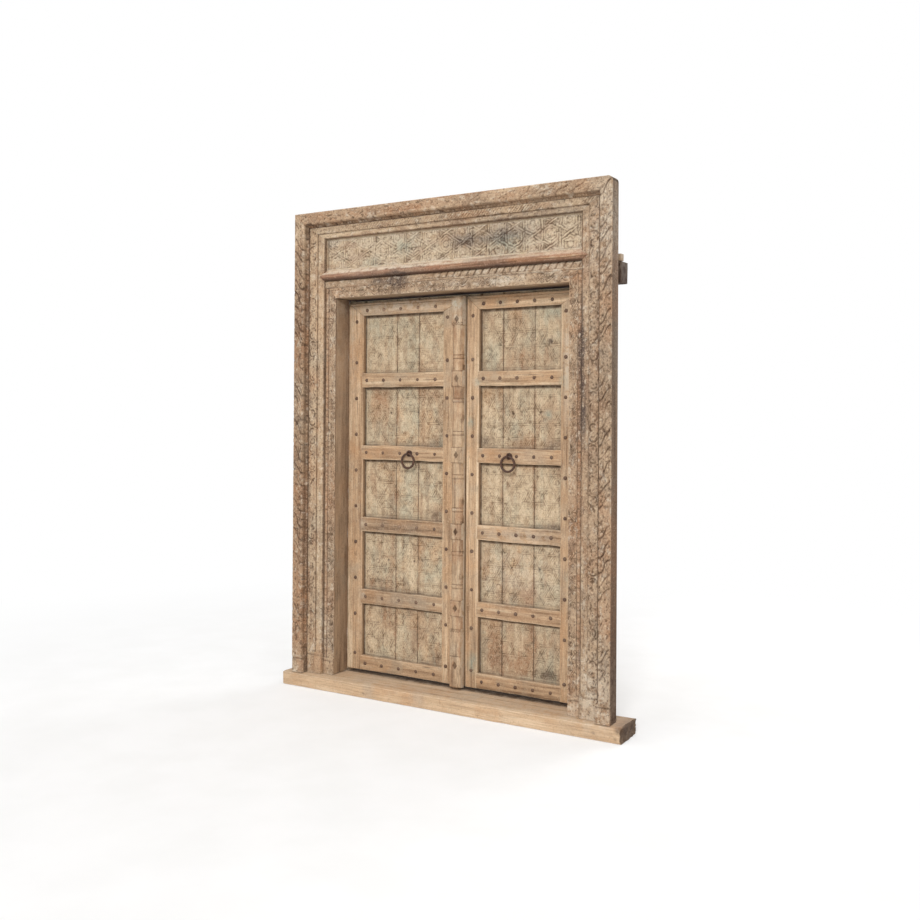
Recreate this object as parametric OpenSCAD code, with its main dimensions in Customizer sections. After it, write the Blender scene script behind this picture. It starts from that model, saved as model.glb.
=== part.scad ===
// Carved temple door: two pivoted leaves in a stepped, carved frame on a long sill.
// Millimetres. +X right, -Y towards the viewer, +Z up.
// The origin is on the sill's underside, at mid-width, below the front face of the outer band.

/* [Opening] */
// Clear width between the door posts
opening_w = 1290; // [1200:2:1450]
// Clear height from the sill to the door head
opening_h = 1888; // [1800:2:2000]

/* [Sill] */
// Height of the sill
sill_h = 70; // [55:1:100]
// How far the sill stands out in front of the outer band
sill_front = 5; // [2:1:20]
// How far each horn of the sill runs past the frame
sill_horn = 55; // [35:1:90]
// Length of the wide middle of the sill past each pivot
sill_shoulder = 65; // [45:1:80]
// Radius worn on the front upper edge of the sill
sill_round = 10; // [4:1:20]
// Radius worn on the upper edge of the left horn
horn_wear = 16; // [6:1:20]
// Depth of the corner broken off the right horn
horn_chip = 14; // [6:1:20]
// Slope of that break, in degrees
chip_tilt = 30; // [20:1:40]

/* [Posts, head and lintel] */
// Width of each door post
post_w = 152; // [145:1:170]
// Depth of the door posts and the door head
post_t = 107; // [80:1:130]
// Height of the door head
head_h = 90; // [85:1:110]
// Depth of the front of the posts behind the outer band
core_set = 64; // [60:1:69]
// Length of the tenons on the posts
tenon_l = 35; // [20:1:45]
// Width of the tenons on the posts
tenon_w = 76; // [50:1:100]
// Thickness of the tenons on the posts
tenon_t = 40; // [25:1:55]
// Height of the rear lintel
lintel_h = 96; // [80:1:110]
// How far the rear lintel hangs below the door head
lintel_drop = 2; // [0:1:6]
// How far the rear lintel runs past the posts
lintel_past = 43; // [20:1:60]
// Wood left between a pivot socket and the back of the lintel or sill
socket_wall = 19; // [14:1:30]
// Width, depth and height of the cleats on the rear lintel
cleat_size = 32; // [20:1:40]

/* [Outer band] */
// Width of the outer band
outer_w = 72; // [66:1:90]
// Depth of the outer band
outer_t = 70; // [70:1:85]
// Width of the cove along its inner edge
cove_w = 13; // [8:1:16]
// Depth at which the cove starts
cove_set = 20; // [12:1:24]
// Radius of the rounded edges of its face
outer_round = 12; // [4:1:16]
// Height of the plain plinth under its carving
outer_plinth_h = 82; // [60:1:120]
// Radius worn on the upper right corner of the frame
corner_wear = 22; // [8:1:30]

/* [Second band] */
// Width of the second band at the sides
second_w = 89; // [80:1:96]
// Width of its carved bead at the sides
second_bead_w = 48; // [40:1:54]
// Height of the second band at the head
second_head_h = 61; // [50:1:75]
// Height of its carved bead at the head
second_head_bead_h = 33; // [26:1:40]
// Depth of the carved bead behind the outer band
second_set = 32; // [24:1:40]
// Step from the bead back to the plain fillet
second_step = 10; // [6:1:14]
// Height of the plain plinth under its carving
second_plinth_h = 105; // [80:1:160]

/* [Inner band] */
// Width of the carved strip beside the opening
strip_w = 42; // [36:1:50]
// Height of the carved strip over the opening
strip_head_h = 50; // [40:1:60]
// How far the carved strip stands out from the posts
strip_t = 7; // [4:1:10]
// How far the roll beside the carved strip laps over it
roll_lap = 2; // [1:0.5:4]
// Height of the plain plinth under its carving
inner_plinth_h = 79; // [40:1:100]
// How far this plinth stands out from the roll
inner_plinth_out = 2; // [1:0.5:4]
// How far the rope moulding stands out from the door head
rope_t = 12; // [9:1:16]
// Width of the bevels along the rope moulding
rope_bevel = 7; // [4:1:12]

/* [Transom] */
// Height of the ledge moulding
ledge_h = 52; // [40:1:64]
// How far the ledge stands out from the transom board
ledge_out = 42; // [30:1:52]
// Radius of the ledge's nose
ledge_nose_r = 20; // [14:0.5:22]
// Fall of the ledge's sloping top
ledge_fall = 8; // [4:1:10]
// How far the ledge runs over the fillet of the second band at each side
ledge_lap = 32; // [20:1:36]
// Height of the carved transom panel
transom_h = 157; // [120:1:200]
// Thickness of the transom board
transom_t = 26; // [18:1:40]

/* [Leaves] */
// Gap between the back of the posts and the front of the stiles
leaf_play = 4; // [3:0.5:8]
// How far each outer stile laps behind its post
leaf_lap = 8; // [4:0.5:10]
// Gap under the leaves
leaf_gap_low = 8; // [5:1:16]
// Gap between the tops of the stiles and the door head
leaf_gap_top = 18; // [14:1:30]
// Where the left leaf ends, to the right of the frame's centre
meet_x = 46; // [30:1:60]
// Gap between the two leaves
meet_gap = 7; // [6:0.5:12]
// Thickness of the stiles and rails
stile_t = 25; // [18:1:30]
// Thickness of the boards
board_t = 32; // [30:1:40]
// Gap between the tops of the boards and the rear lintel
board_gap_top = 4; // [3:0.5:8]
// Gap between neighbouring boards
board_gap = 1.5; // [0.5:0.5:4]
// Bevel along the edges of stiles and rails
edge_bevel = 4; // [1:0.5:6]
// Width of the left leaf's outer stile
left_outer_stile_w = 93; // [78:1:105]
// Width of the left leaf's meeting stile
left_meeting_stile_w = 126; // [105:1:140]
// Width of the right leaf's outer stile
right_outer_stile_w = 103; // [78:1:115]
// Width of the right leaf's meeting stile
right_meeting_stile_w = 68; // [55:1:90]
// Width of the plain strip outside the groove on the outer stiles
outer_strip_w = 41; // [28:1:48]
// Width of the plain strip outside the groove on the right meeting stile
meeting_strip_w = 17; // [12:1:22]
// Height of the plain strip above the groove on the top rails
top_strip_h = 12; // [8:1:16]
// Width and depth of these grooves
quirk_w = 3; // [2:0.5:4]
// Width of the left pivot board, from the pivot axis
left_pivot_board_w = 287; // [230:1:320]
// Width of the left middle board
left_middle_board_w = 132; // [100:1:170]
// Width of the right pivot board, from the pivot axis
right_pivot_board_w = 250; // [210:1:300]
// Width of the right middle board
right_middle_board_w = 166; // [120:1:200]

/* [Rails] */
// Height of the top rail
top_rail_h = 65; // [55:1:75]
// Height of each middle rail
mid_rail_h = 73; // [60:1:85]
// Height of the bottom rail
low_rail_h = 78; // [60:1:95]
// How much lower the lowest panel is than the others
low_panel_less = 29; // [0:1:60]
// Height of the battens on the back
batten_h = 80; // [60:1:100]
// Thickness of the battens on the back
batten_t = 24; // [16:1:30]
// How far the battens stop short of the leaf's edges
batten_short = 24; // [16:1:40]

/* [Pivots] */
// Distance of the pivot axis beyond the edge of the opening
pivot_out = 10; // [6:1:16]
// Radius of the pivot pins
pin_r = 15; // [10:0.5:15]
// Radial clearance of the pins in their sockets
pin_clear = 0.4; // [0.2:0.1:0.8]
// Depth of the lower sockets
socket_depth = 40; // [25:1:50]
// How far the upper pins reach into the lintel
top_pin_in = 55; // [35:1:70]
// Clearance under the lower pins
pin_end_clear = 0.3; // [0.2:0.1:0.5]

/* [Astragal] */
// Width of the astragal
astragal_w = 60; // [50:1:66]
// How far the astragal stands out from the stile
astragal_t = 35; // [28:1:38]
// Thickness of the flat base behind its half-round stretches
astragal_base_t = 12; // [8:1:16]
// Radius of the half-round stretches
shaft_r = 22; // [18:0.5:23]
// How far the rings stand out from the half-round stretches
collar_out = 2.5; // [1:0.5:4]
// Height of each ring
collar_h = 16; // [8:1:22]
// Distance of the rings from the blocks
collar_set = 64; // [45:1:80]
// How far each block runs past its rail, above and below
block_past = 3; // [0:1:10]
// Height of the block at the top
top_block_h = 139; // [100:1:160]
// Height of the block at the foot
foot_block_h = 280; // [200:1:290]

/* [Carving] */
// Depth of the carving on the bands
carve_d = 4; // [2:0.5:5]
// Depth of the carving on the inner strips and the rope moulding
strip_carve_d = 3; // [1:0.5:3.5]
// Depth of the carving on panels, transom and astragal
panel_carve_d = 2.5; // [1:0.5:4]
// Distance from one leaf to the next along the outer band
leaf_pitch = 55; // [50:1:80]
// Width of each leaf
leaf_w = 26; // [16:1:30]
// Distance from one lozenge to the next along the second band
lozenge_pitch = 44; // [36:1:60]
// Width of the ground left round the lozenges and the astragal's diamonds
lozenge_margin = 3; // [1:0.5:5]
// Distance from one chevron to the next along the inner strips
chevron_pitch = 46; // [36:1:60]
// Width of the cuts between the chevrons
chevron_cut = 15; // [8:1:18]
// Plain margin along the inner strips
strip_margin = 5; // [3:1:8]
// Distance from one stroke to the next along the rope moulding
rope_pitch = 38; // [30:1:48]
// Width of the cuts between the strokes
rope_cut = 13; // [8:1:16]
// Plain strip along the foot of the rope moulding
rope_plain = 12; // [8:1:16]
// Length of the rope moulding that is worn smooth at its left end
rope_worn_left = 678; // [400:1:760]
// Length of the rope moulding that is worn smooth at its right end
rope_worn_right = 12; // [5:1:120]
// Distance between the straps of the star pattern on the transom
transom_star = 92; // [80:1:120]
// Distance between the straps of the star pattern on the panels
panel_star = 132; // [100:1:160]
// Width of the straps
strap_w = 14; // [8:1:18]
// Radius of the rosettes in the transom's stars
rosette_r = 17; // [10:1:20]
// Plain margin round the star patterns
star_margin = 10; // [6:1:20]
// Plain margin round the diamonds on the astragal's blocks
boss_margin = 7; // [4:1:12]

/* [Ironwork] */
// Radius of the stud heads
stud_r = 10; // [6:0.5:12]
// Height of the stud heads
stud_h = 6; // [4:0.5:8]
// Studs on each rail
studs_per_rail = 5; // [3:1:7]
// Distance of the first rail stud from the left stile
stud_inset_left = 24; // [16:1:40]
// Distance of the last rail stud from the right stile
stud_inset_right = 45; // [20:1:60]
// Distance of the studs on the left leaf's outer stile from the panels
left_outer_stud = 40; // [20:1:44]
// Distance of the studs on the left leaf's meeting stile from the panels
left_meeting_stud = 24; // [16:1:40]
// Distance of the studs on the right leaf's outer stile from the panels
right_outer_stud = 24; // [16:1:40]
// Distance of the studs on the right leaf's meeting stile from the panels
right_meeting_stud = 34; // [16:1:36]
// Distance of the uppermost stile studs below the top rail
top_stud_drop = 29; // [16:1:50]
// Distance of the next stile studs above and below each middle rail
stud_off_rail = 91; // [80:1:110]
// Distance of the lowest stile studs above the bottom rail
low_stud_rise = 9; // [0:1:30]
// Outside diameter of the pull rings
ring_d = 80; // [60:1:90]
// Radius of the ring's wire
ring_wire_r = 5; // [3.5:0.5:5.5]
// Distance of the rings from midway between two studs, where there is room
ring_offset = 7; // [0:1:9]
// Radius of the staple's wire
staple_wire_r = 3.2; // [2.5:0.1:4]
// Clearance between the ring and the staple's eye, where the ring hangs
ring_clear = 0.3; // [0.2:0.1:0.6]
// Play of the ring's wire across the eye
eye_play = 2.6; // [2:0.1:4]
// Diameter of the ring plates
plate_d = 32; // [24:1:38]
// Thickness of the ring plates
plate_t = 3; // [2:0.5:4]
// Length of the staple's shank behind the plate
shank_l = 20; // [12:1:24]
// Clearance round the staple's shank
shank_clear = 0.2; // [0.1:0.1:0.4]

/* [Hidden] */
$fn = 48;
EPS = 0.5;
SIDES = ["left", "right"];
MID_RAILS = [0, 1, 2, 3];
BATTENS = [0, 1, 2];
FRAME_NODES = [
    "sill", "door_post_left", "door_post_right", "door_head", "rear_lintel",
    "lintel_cleat_left", "lintel_cleat_right", "transom_board", "ledge", "rope_moulding",
    "outer_jamb_left", "outer_jamb_right", "outer_head",
    "second_jamb_left", "second_jamb_right", "second_head",
    "inner_band_left", "inner_band_right", "inner_band_head"
];
LEAF_PIECES = concat(
    ["pivot_board", "middle_board", "meeting_board", "outer_stile", "meeting_stile", "top_rail"],
    [for (i = MID_RAILS) str("rail_", i + 1)],
    ["bottom_rail"],
    [for (i = BATTENS) str("batten_", i + 1)],
    ["studs", "ring_plate", "staple", "ring"]
);

// Colours as they look in daylight
BLEACHED = [0.76, 0.63, 0.47];
CARVED = [0.68, 0.56, 0.45];
PANEL = [0.66, 0.57, 0.44];
DARK_WOOD = [0.30, 0.21, 0.15];
IRON = [0.24, 0.19, 0.16];

// Places across the frame
post_in = opening_w / 2;
post_out = post_in + post_w;
frame_out = post_out + outer_w;
outer_face = outer_w - cove_w - 2 * outer_round;
second_in = post_out - second_w;
sill_end = frame_out + sill_horn;

// Depths, from the front face of the outer band
post_back = core_set + post_t;
leaf_front = post_back + leaf_play;
board_front = leaf_front + stile_t;
board_back = board_front + board_t;
pivot_y = board_front + board_t / 2;
rear = pivot_y + pin_r + socket_wall;
astragal_front = leaf_front - astragal_t;

// Heights, from the underside of the sill
head_z = sill_h + opening_h;
head_top = head_z + head_h;
ledge_top = head_top + ledge_h;
panel_top = ledge_top + transom_h;
second_top = panel_top + second_head_h;
frame_top = second_top + outer_w;
lintel_z = head_z - lintel_drop;
leaf_low = sill_h + leaf_gap_low;
leaf_top = head_z - leaf_gap_top;
board_top = lintel_z - board_gap_top;

// Leaves
pivot_x = post_in + pivot_out;
leaf_out = post_in + leaf_lap;
function dir(s) = s == "left" ? -1 : 1;
function meet_edge(s) = s == "left" ? meet_x : meet_x + meet_gap;
function outer_stile_w(s) = s == "left" ? left_outer_stile_w : right_outer_stile_w;
function meeting_stile_w(s) = s == "left" ? left_meeting_stile_w : right_meeting_stile_w;
function pivot_board_w(s) = s == "left" ? left_pivot_board_w : right_pivot_board_w;
function middle_board_w(s) = s == "left" ? left_middle_board_w : right_middle_board_w;
function field_out(s) = dir(s) * (leaf_out - outer_stile_w(s));
function field_in(s) = meet_edge(s) + dir(s) * meeting_stile_w(s);
function field_left(s) = min(field_in(s), field_out(s));
function field_right(s) = max(field_in(s), field_out(s));
function seam_out(s) = dir(s) * (pivot_x - pivot_board_w(s));
function seam_in(s) = seam_out(s) - dir(s) * middle_board_w(s);
rails_h = top_rail_h + len(MID_RAILS) * mid_rail_h + low_rail_h;
panel_h = (leaf_top - leaf_low - rails_h + low_panel_less) / (len(MID_RAILS) + 1);
function rail_z(i) = leaf_top - top_rail_h - (i + 1) * panel_h - (i + 0.5) * mid_rail_h;
batten_rails = [0, 1, 3];

// Ironwork
ring_r = ring_d / 2 - ring_wire_r;
eye_r = ring_wire_r + eye_play / 2 + staple_wire_r;
eye_y = leaf_front - plate_t - eye_r - staple_wire_r;
eye_z = rail_z(1);
ring_axis_z = eye_z - eye_play / 2 + ring_clear;
function stud_z() = concat(
    [leaf_top - top_rail_h - top_stud_drop],
    [for (i = MID_RAILS, k = [1, -1]) rail_z(i) + k * stud_off_rail],
    [leaf_low + low_rail_h + low_stud_rise]
);
function outer_stud(s) = s == "left" ? left_outer_stud : right_outer_stud;
function meeting_stud(s) = s == "left" ? left_meeting_stud : right_meeting_stud;
function stud_x(s) = let (first = field_left(s) + stud_inset_left)
    let (step = (field_right(s) - stud_inset_right - first) / (studs_per_rail - 1))
    [for (i = [0 : studs_per_rail - 1]) first + i * step];
function ring_gap(s) = floor(studs_per_rail / 2) - (s == "left" ? 0 : 1);
function ring_x(s) = let (x = stud_x(s), i = ring_gap(s))
    let (room = (x[i + 1] - x[i] - plate_d) / 2 - stud_r - EPS)
    (x[i] + x[i + 1]) / 2 + min(ring_offset, room);
function rail_mid_z() = concat(
    [leaf_top - top_strip_h - (top_rail_h - top_strip_h) / 2],
    [for (i = MID_RAILS) rail_z(i)],
    [leaf_low + low_rail_h / 2]
);

// A block between two corners, given in any order
module block(a, b) {
    low = [for (i = [0 : 2]) min(a[i], b[i])];
    high = [for (i = [0 : 2]) max(a[i], b[i])];
    translate(low) cube(high - low);
}

// An outline seen from the front, given depth from y0 back to y1
module slab(y0, y1) {
    translate([0, y1, 0]) rotate([90, 0, 0]) linear_extrude(y1 - y0) children();
}

// A profile drawn as (distance down from the top, depth), run along +X
module run_x(x0, x1, top) {
    translate([x0, 0, top]) rotate([0, 90, 0]) linear_extrude(x1 - x0) children();
}

// A profile drawn as (distance in from the outer edge, depth), run up one side of the frame
module run_z(s, edge, z0, z1) {
    translate([0, 0, z0]) linear_extrude(z1 - z0)
        mirror([s == "right" ? 1 : 0, 0]) translate([-edge, 0]) children();
}

// Outline of an upright of the frame, square at the foot and mitred to the head at the top
module mitred_upright(s, x_out, x_in, z0, z_out, z_in) {
    polygon([for (p = [[x_out, z0], [x_in, z0], [x_in, z_in], [x_out, z_out]]) [dir(s) * p[0], p[1]]]);
}

// Outline of a head piece, mitred at both ends
module mitred_head(x_out, x_in, z_out, z_in) {
    polygon([[-x_out, z_out], [x_out, z_out], [x_in, z_in], [-x_in, z_in]]);
}

// Profile of a stile or rail: w across, from y0 back to y1, with both front edges bevelled
module bevelled(w, y0, y1) {
    polygon([[0, y1], [0, y0 + edge_bevel], [edge_bevel, y0],
             [w - edge_bevel, y0], [w, y0 + edge_bevel], [w, y1]]);
}

// What rounding takes off a corner at [0, 0] whose edges run along +X and +Y
module worn_edge(r) {
    difference() {
        translate([-EPS, -EPS]) square(r + EPS);
        translate([r, r]) circle(r);
    }
}

module outer_profile() {
    difference() {
        square([outer_w, outer_t]);
        translate([outer_w - cove_w, -EPS]) square([cove_w + EPS, cove_set + EPS]);
        translate([outer_w, cove_set]) circle(cove_w);
        worn_edge(outer_round);
        translate([outer_w - cove_w, 0]) mirror([1, 0]) worn_edge(outer_round);
    }
}

module second_profile(w, bead) {
    fillet = second_set + second_step;
    polygon([[0, core_set], [0, second_set + edge_bevel], [edge_bevel, second_set],
             [bead - edge_bevel, second_set], [bead, second_set + edge_bevel], [bead, fillet],
             [w - 2 * edge_bevel, fillet], [w, fillet + 2 * edge_bevel], [w, core_set]]);
}

// One leaf of the outer band: it leans across a strip of width w that runs along +X
module leaf(w) {
    polygon([[-w / 2, 0], [(leaf_w - w) / 2, 0], [leaf_w / 2, w / 3], [w / 2, w],
             [(w - leaf_w) / 2, w], [-leaf_w / 2, w * 2 / 3]]);
}

// Ground cut round the leaves on a strip of length l and width w
module leaf_ground(l, w) {
    count = floor(l / leaf_pitch);
    difference() {
        square([l, w]);
        for (i = [0 : count - 1]) translate([l / 2 + (i - (count - 1) / 2) * leaf_pitch, 0]) leaf(w);
    }
}

// Ground cut round a chain of lozenges on a strip of length l and width w
module lozenge_ground(l, w) {
    count = floor(l / lozenge_pitch);
    half = (lozenge_pitch - lozenge_margin) / 2;
    high = w / 2 - lozenge_margin;
    difference() {
        square([l, w]);
        for (i = [0 : count - 1]) translate([l / 2 + (i - (count - 1) / 2) * lozenge_pitch, w / 2])
            polygon([[-half, 0], [-half / 2, high], [half / 2, high],
                     [half, 0], [half / 2, -high], [-half / 2, -high]]);
    }
}

// Cuts between the chevrons on a strip of length l and width w
module chevron_cuts(l, w) {
    count = floor((l - w / 2) / chevron_pitch);
    for (i = [0 : count - 1]) translate([i * chevron_pitch, 0])
        polygon([[0, 0], [chevron_cut, 0], [chevron_cut + w / 2, w / 2],
                 [chevron_cut, w], [0, w], [w / 2, w / 2]]);
}

// Cuts between the strokes on a rope of length l and width w
module rope_cuts(l, w) {
    for (i = [0 : floor((l - w) / rope_pitch) - 1]) translate([i * rope_pitch, 0])
        polygon([[0, 0], [rope_cut, 0], [rope_cut + w, w], [w, w]]);
}

// Ground between the straps of a star pattern, from low to high, with a star centred at mid
module star_ground(low, high, mid, pitch, turn) {
    corners = [for (x = [low[0], high[0]], z = [low[1], high[1]]) [x, z] - mid];
    reach = max([for (c = corners) norm(c)]);
    difference() {
        translate(low) square(high - low);
        for (a = [turn, turn + 60, turn + 120]) {
            across = [for (c = corners) c * [cos(a), sin(a)] / pitch];
            for (i = [floor(min(across) - 0.5) : ceil(max(across) - 0.5)]) translate(mid) rotate(a)
                translate([(i + 0.5) * pitch - strap_w / 2, -reach]) square([strap_w, 2 * reach]);
        }
    }
}

// A strip drawn along +X from 0, stood up one side of the frame at the given distance from its centre
module upright_strip(s, x, z) {
    mirror([s == "right" ? 1 : 0, 0]) translate([-x, z]) rotate(90) mirror([0, 1]) children();
}

// Rounding worn on the frame's upper right corner
module worn_corner() {
    slab(-EPS, outer_t + EPS) translate([frame_out, frame_top]) rotate(180) worn_edge(corner_wear);
}

module post_tenon(s, z) {
    mid = dir(s) * (post_in + post_w / 2);
    mid_y = core_set + post_t / 2;
    block([mid - tenon_w / 2, mid_y - tenon_t / 2, z],
          [mid + tenon_w / 2, mid_y + tenon_t / 2, z + tenon_l]);
}

module sill() {
    shoulder = pivot_x + sill_shoulder;
    color(BLEACHED) difference() {
        union() {
            block([-sill_end, -sill_front, 0], [sill_end, post_back, sill_h]);
            block([-shoulder, post_back, 0], [shoulder, rear, sill_h]);
        }
        for (s = SIDES) {
            post_tenon(s, sill_h - tenon_l);
            translate([dir(s) * pivot_x, pivot_y, sill_h - socket_depth])
                cylinder(r = pin_r + pin_clear, h = socket_depth + EPS);
        }
        slab(-sill_front - EPS, post_back + EPS)
            translate([-sill_end, sill_h]) mirror([0, 1]) worn_edge(horn_wear);
        run_x(-sill_end - EPS, sill_end + EPS, sill_h) translate([0, -sill_front]) worn_edge(sill_round);
        translate([sill_end, -sill_front, sill_h]) rotate([0, 0, -45]) rotate([0, -chip_tilt, 0])
            translate([-horn_chip, -sill_h, -sill_h]) cube(2 * sill_h);
    }
}

module door_post(s) {
    color(BLEACHED) {
        block([dir(s) * post_in, core_set, sill_h], [dir(s) * post_out, post_back, head_z]);
        post_tenon(s, sill_h - tenon_l);
        post_tenon(s, head_z);
    }
}

module door_head() {
    color(BLEACHED) difference() {
        block([-post_out, core_set, head_z], [post_out, post_back, head_top]);
        for (s = SIDES) post_tenon(s, head_z);
    }
}

module rear_lintel() {
    end = post_out + lintel_past;
    color(DARK_WOOD) difference() {
        block([-end, post_back, lintel_z], [end, rear, lintel_z + lintel_h]);
        for (s = SIDES) translate([dir(s) * pivot_x, pivot_y, lintel_z - EPS])
            cylinder(r = pin_r + pin_clear, h = lintel_h + 2 * EPS);
    }
}

module lintel_cleat(s) {
    end = post_out + lintel_past;
    z = lintel_z + lintel_h;
    color(CARVED) block([dir(s) * end, post_back, z],
        [dir(s) * (end - cleat_size), post_back + cleat_size, z + cleat_size]);
}

module transom_board() {
    low = [star_margin - second_in, ledge_top + star_margin];
    high = [second_in - star_margin, panel_top - star_margin];
    mid = [0, (ledge_top + panel_top) / 2];
    stars = floor(second_in / transom_star);
    color(PANEL) difference() {
        block([-post_out, core_set, head_top], [post_out, core_set + transom_t, second_top]);
        slab(core_set - EPS, core_set + panel_carve_d) difference() {
            star_ground(low, high, mid, transom_star, 0);
            for (i = [-stars : stars]) translate(mid + [i * transom_star, 0]) circle(rosette_r, $fn = 6);
        }
    }
}

// Outline of the ledge moulding: a half-round nose under a sloping top
module ledge_profile() {
    nose = min(ledge_nose_r, ledge_h / 2, ledge_out / 2 - EPS);
    translate([ledge_h - nose, core_set - ledge_out + nose]) circle(nose);
    polygon([[0, core_set], [ledge_fall, core_set - ledge_out + nose],
             [ledge_h, core_set - ledge_out + nose], [ledge_h, core_set]]);
}

module ledge() {
    half = second_in + ledge_lap;
    color(CARVED) run_x(-half, half, ledge_top) ledge_profile();
}

module rope_moulding() {
    w = head_h - strip_head_h;
    front = core_set - rope_t;
    color(CARVED) difference() {
        run_x(-second_in, second_in, head_top)
            polygon([[0, core_set], [0, core_set - rope_t / 2], [rope_bevel, front],
                     [w - rope_bevel, front], [w, core_set - rope_t / 2], [w, core_set]]);
        slab(front - EPS, front + strip_carve_d)
            translate([rope_worn_left - second_in, head_top - w + rope_plain])
            rope_cuts(2 * second_in - rope_worn_left - rope_worn_right, w - rope_plain);
    }
}

module outer_jamb(s) {
    color(CARVED) difference() {
        union() {
            intersection() {
                run_z(s, frame_out, sill_h, frame_top) outer_profile();
                slab(0, outer_t) mitred_upright(s, frame_out, post_out, sill_h, frame_top, second_top);
            }
            block([dir(s) * frame_out, 0, sill_h], [dir(s) * post_out, outer_t, sill_h + outer_plinth_h]);
        }
        if (s == "right") worn_corner();
        slab(-EPS, carve_d) upright_strip(s, frame_out - outer_round, sill_h + outer_plinth_h)
            leaf_ground(second_top - sill_h - outer_plinth_h, outer_face);
    }
}

module outer_head() {
    color(CARVED) difference() {
        intersection() {
            run_x(-frame_out, frame_out, frame_top) outer_profile();
            slab(0, outer_t) mitred_head(frame_out, post_out, frame_top, second_top);
        }
        worn_corner();
        slab(-EPS, carve_d) translate([-post_out, frame_top - outer_round - outer_face])
            leaf_ground(2 * post_out, outer_face);
    }
}

module second_jamb(s) {
    plinth_top = sill_h + second_plinth_h;
    color(CARVED) difference() {
        union() {
            intersection() {
                run_z(s, post_out, sill_h, second_top) second_profile(second_w, second_bead_w);
                slab(second_set, core_set)
                    mitred_upright(s, post_out, second_in, sill_h, second_top, panel_top);
            }
            block([dir(s) * post_out, second_set, sill_h], [dir(s) * second_in, core_set, plinth_top]);
        }
        block([dir(s) * (second_in - EPS), second_set - EPS, head_top],
              [dir(s) * (second_in + ledge_lap), core_set + EPS, ledge_top]);
        slab(second_set - EPS, second_set + carve_d) upright_strip(s, post_out - edge_bevel, plinth_top)
            lozenge_ground(panel_top - plinth_top, second_bead_w - 2 * edge_bevel);
    }
}

module second_head() {
    bead = second_head_bead_h - 2 * edge_bevel;
    color(CARVED) difference() {
        intersection() {
            run_x(-post_out, post_out, second_top) second_profile(second_head_h, second_head_bead_h);
            slab(second_set, core_set) mitred_head(post_out, second_in, second_top, panel_top);
        }
        slab(second_set - EPS, second_set + carve_d)
            translate([-second_in, second_top - edge_bevel - bead]) lozenge_ground(2 * second_in, bead);
    }
}

module inner_band(s) {
    strip_front = core_set - strip_t;
    roll_r = (second_in - post_in - strip_w + roll_lap) / 2;
    plinth_top = sill_h + inner_plinth_h;
    color(CARVED) {
        difference() {
            slab(strip_front, core_set)
                mitred_upright(s, post_in + strip_w, post_in, sill_h, head_z + strip_head_h, head_z);
            slab(strip_front - EPS, strip_front + strip_carve_d)
                upright_strip(s, post_in + strip_w - roll_lap - strip_margin, plinth_top)
                chevron_cuts(head_z - plinth_top, strip_w - roll_lap - 2 * strip_margin);
        }
        intersection() {
            translate([dir(s) * (second_in - roll_r), core_set, sill_h])
                cylinder(r = roll_r, h = opening_h + strip_head_h);
            block([dir(s) * second_in, 0, sill_h], [dir(s) * post_in, core_set, frame_top]);
        }
        block([dir(s) * post_in, core_set - roll_r - inner_plinth_out, sill_h],
              [dir(s) * second_in, core_set, sill_h + inner_plinth_h]);
    }
}

module inner_band_head() {
    strip_front = core_set - strip_t;
    color(CARVED) difference() {
        slab(strip_front, core_set) mitred_head(post_in + strip_w, post_in, head_z + strip_head_h, head_z);
        slab(strip_front - EPS, strip_front + strip_carve_d) translate([-post_in, head_z + strip_margin])
            chevron_cuts(2 * post_in, strip_head_h - 2 * strip_margin);
    }
}

// Lower edge of each panel, from the top down, and then its height
function panel_z() = [for (i = [0 : len(MID_RAILS)]) i < len(MID_RAILS)
    ? [rail_z(i) + mid_rail_h / 2, panel_h] : [leaf_low + low_rail_h, panel_h - low_panel_less]];

// A length of board from x0 to x1, with its share of the star pattern on each panel
module board(s, x0, x1) {
    low_x = max(min(x0, x1), field_left(s)) + star_margin;
    high_x = min(max(x0, x1), field_right(s)) - star_margin;
    mid_x = (field_left(s) + field_right(s)) / 2;
    difference() {
        block([x0, board_front, leaf_low], [x1, board_back, board_top]);
        slab(board_front - EPS, board_front + panel_carve_d) for (p = panel_z())
            star_ground([low_x, p[0] + star_margin], [high_x, p[0] + p[1] - star_margin],
                        [mid_x, p[0] + p[1] / 2], panel_star, 90);
    }
}

module pivot_board(s) {
    x = dir(s) * pivot_x;
    low_pin = leaf_gap_low + socket_depth - pin_end_clear;
    top_pin = board_gap_top + top_pin_in;
    color(PANEL) {
        board(s, x, seam_out(s) + dir(s) * board_gap / 2);
        translate([x, pivot_y, leaf_low]) cylinder(r = board_t / 2, h = board_top - leaf_low);
        translate([x, pivot_y, leaf_low - low_pin]) cylinder(r = pin_r, h = low_pin + EPS);
        translate([x, pivot_y, board_top - EPS]) cylinder(r = pin_r, h = top_pin + EPS);
    }
}

module middle_board(s) {
    color(PANEL) board(s, seam_out(s) - dir(s) * board_gap / 2, seam_in(s) + dir(s) * board_gap / 2);
}

module meeting_board(s) {
    color(PANEL) board(s, seam_in(s) - dir(s) * board_gap / 2, meet_edge(s));
}

// Groove along the outer edge of a stile
module upright_quirk(x) {
    block([x - quirk_w / 2, leaf_front - EPS, leaf_low - EPS],
          [x + quirk_w / 2, leaf_front + quirk_w, leaf_top - top_strip_h]);
}

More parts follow.
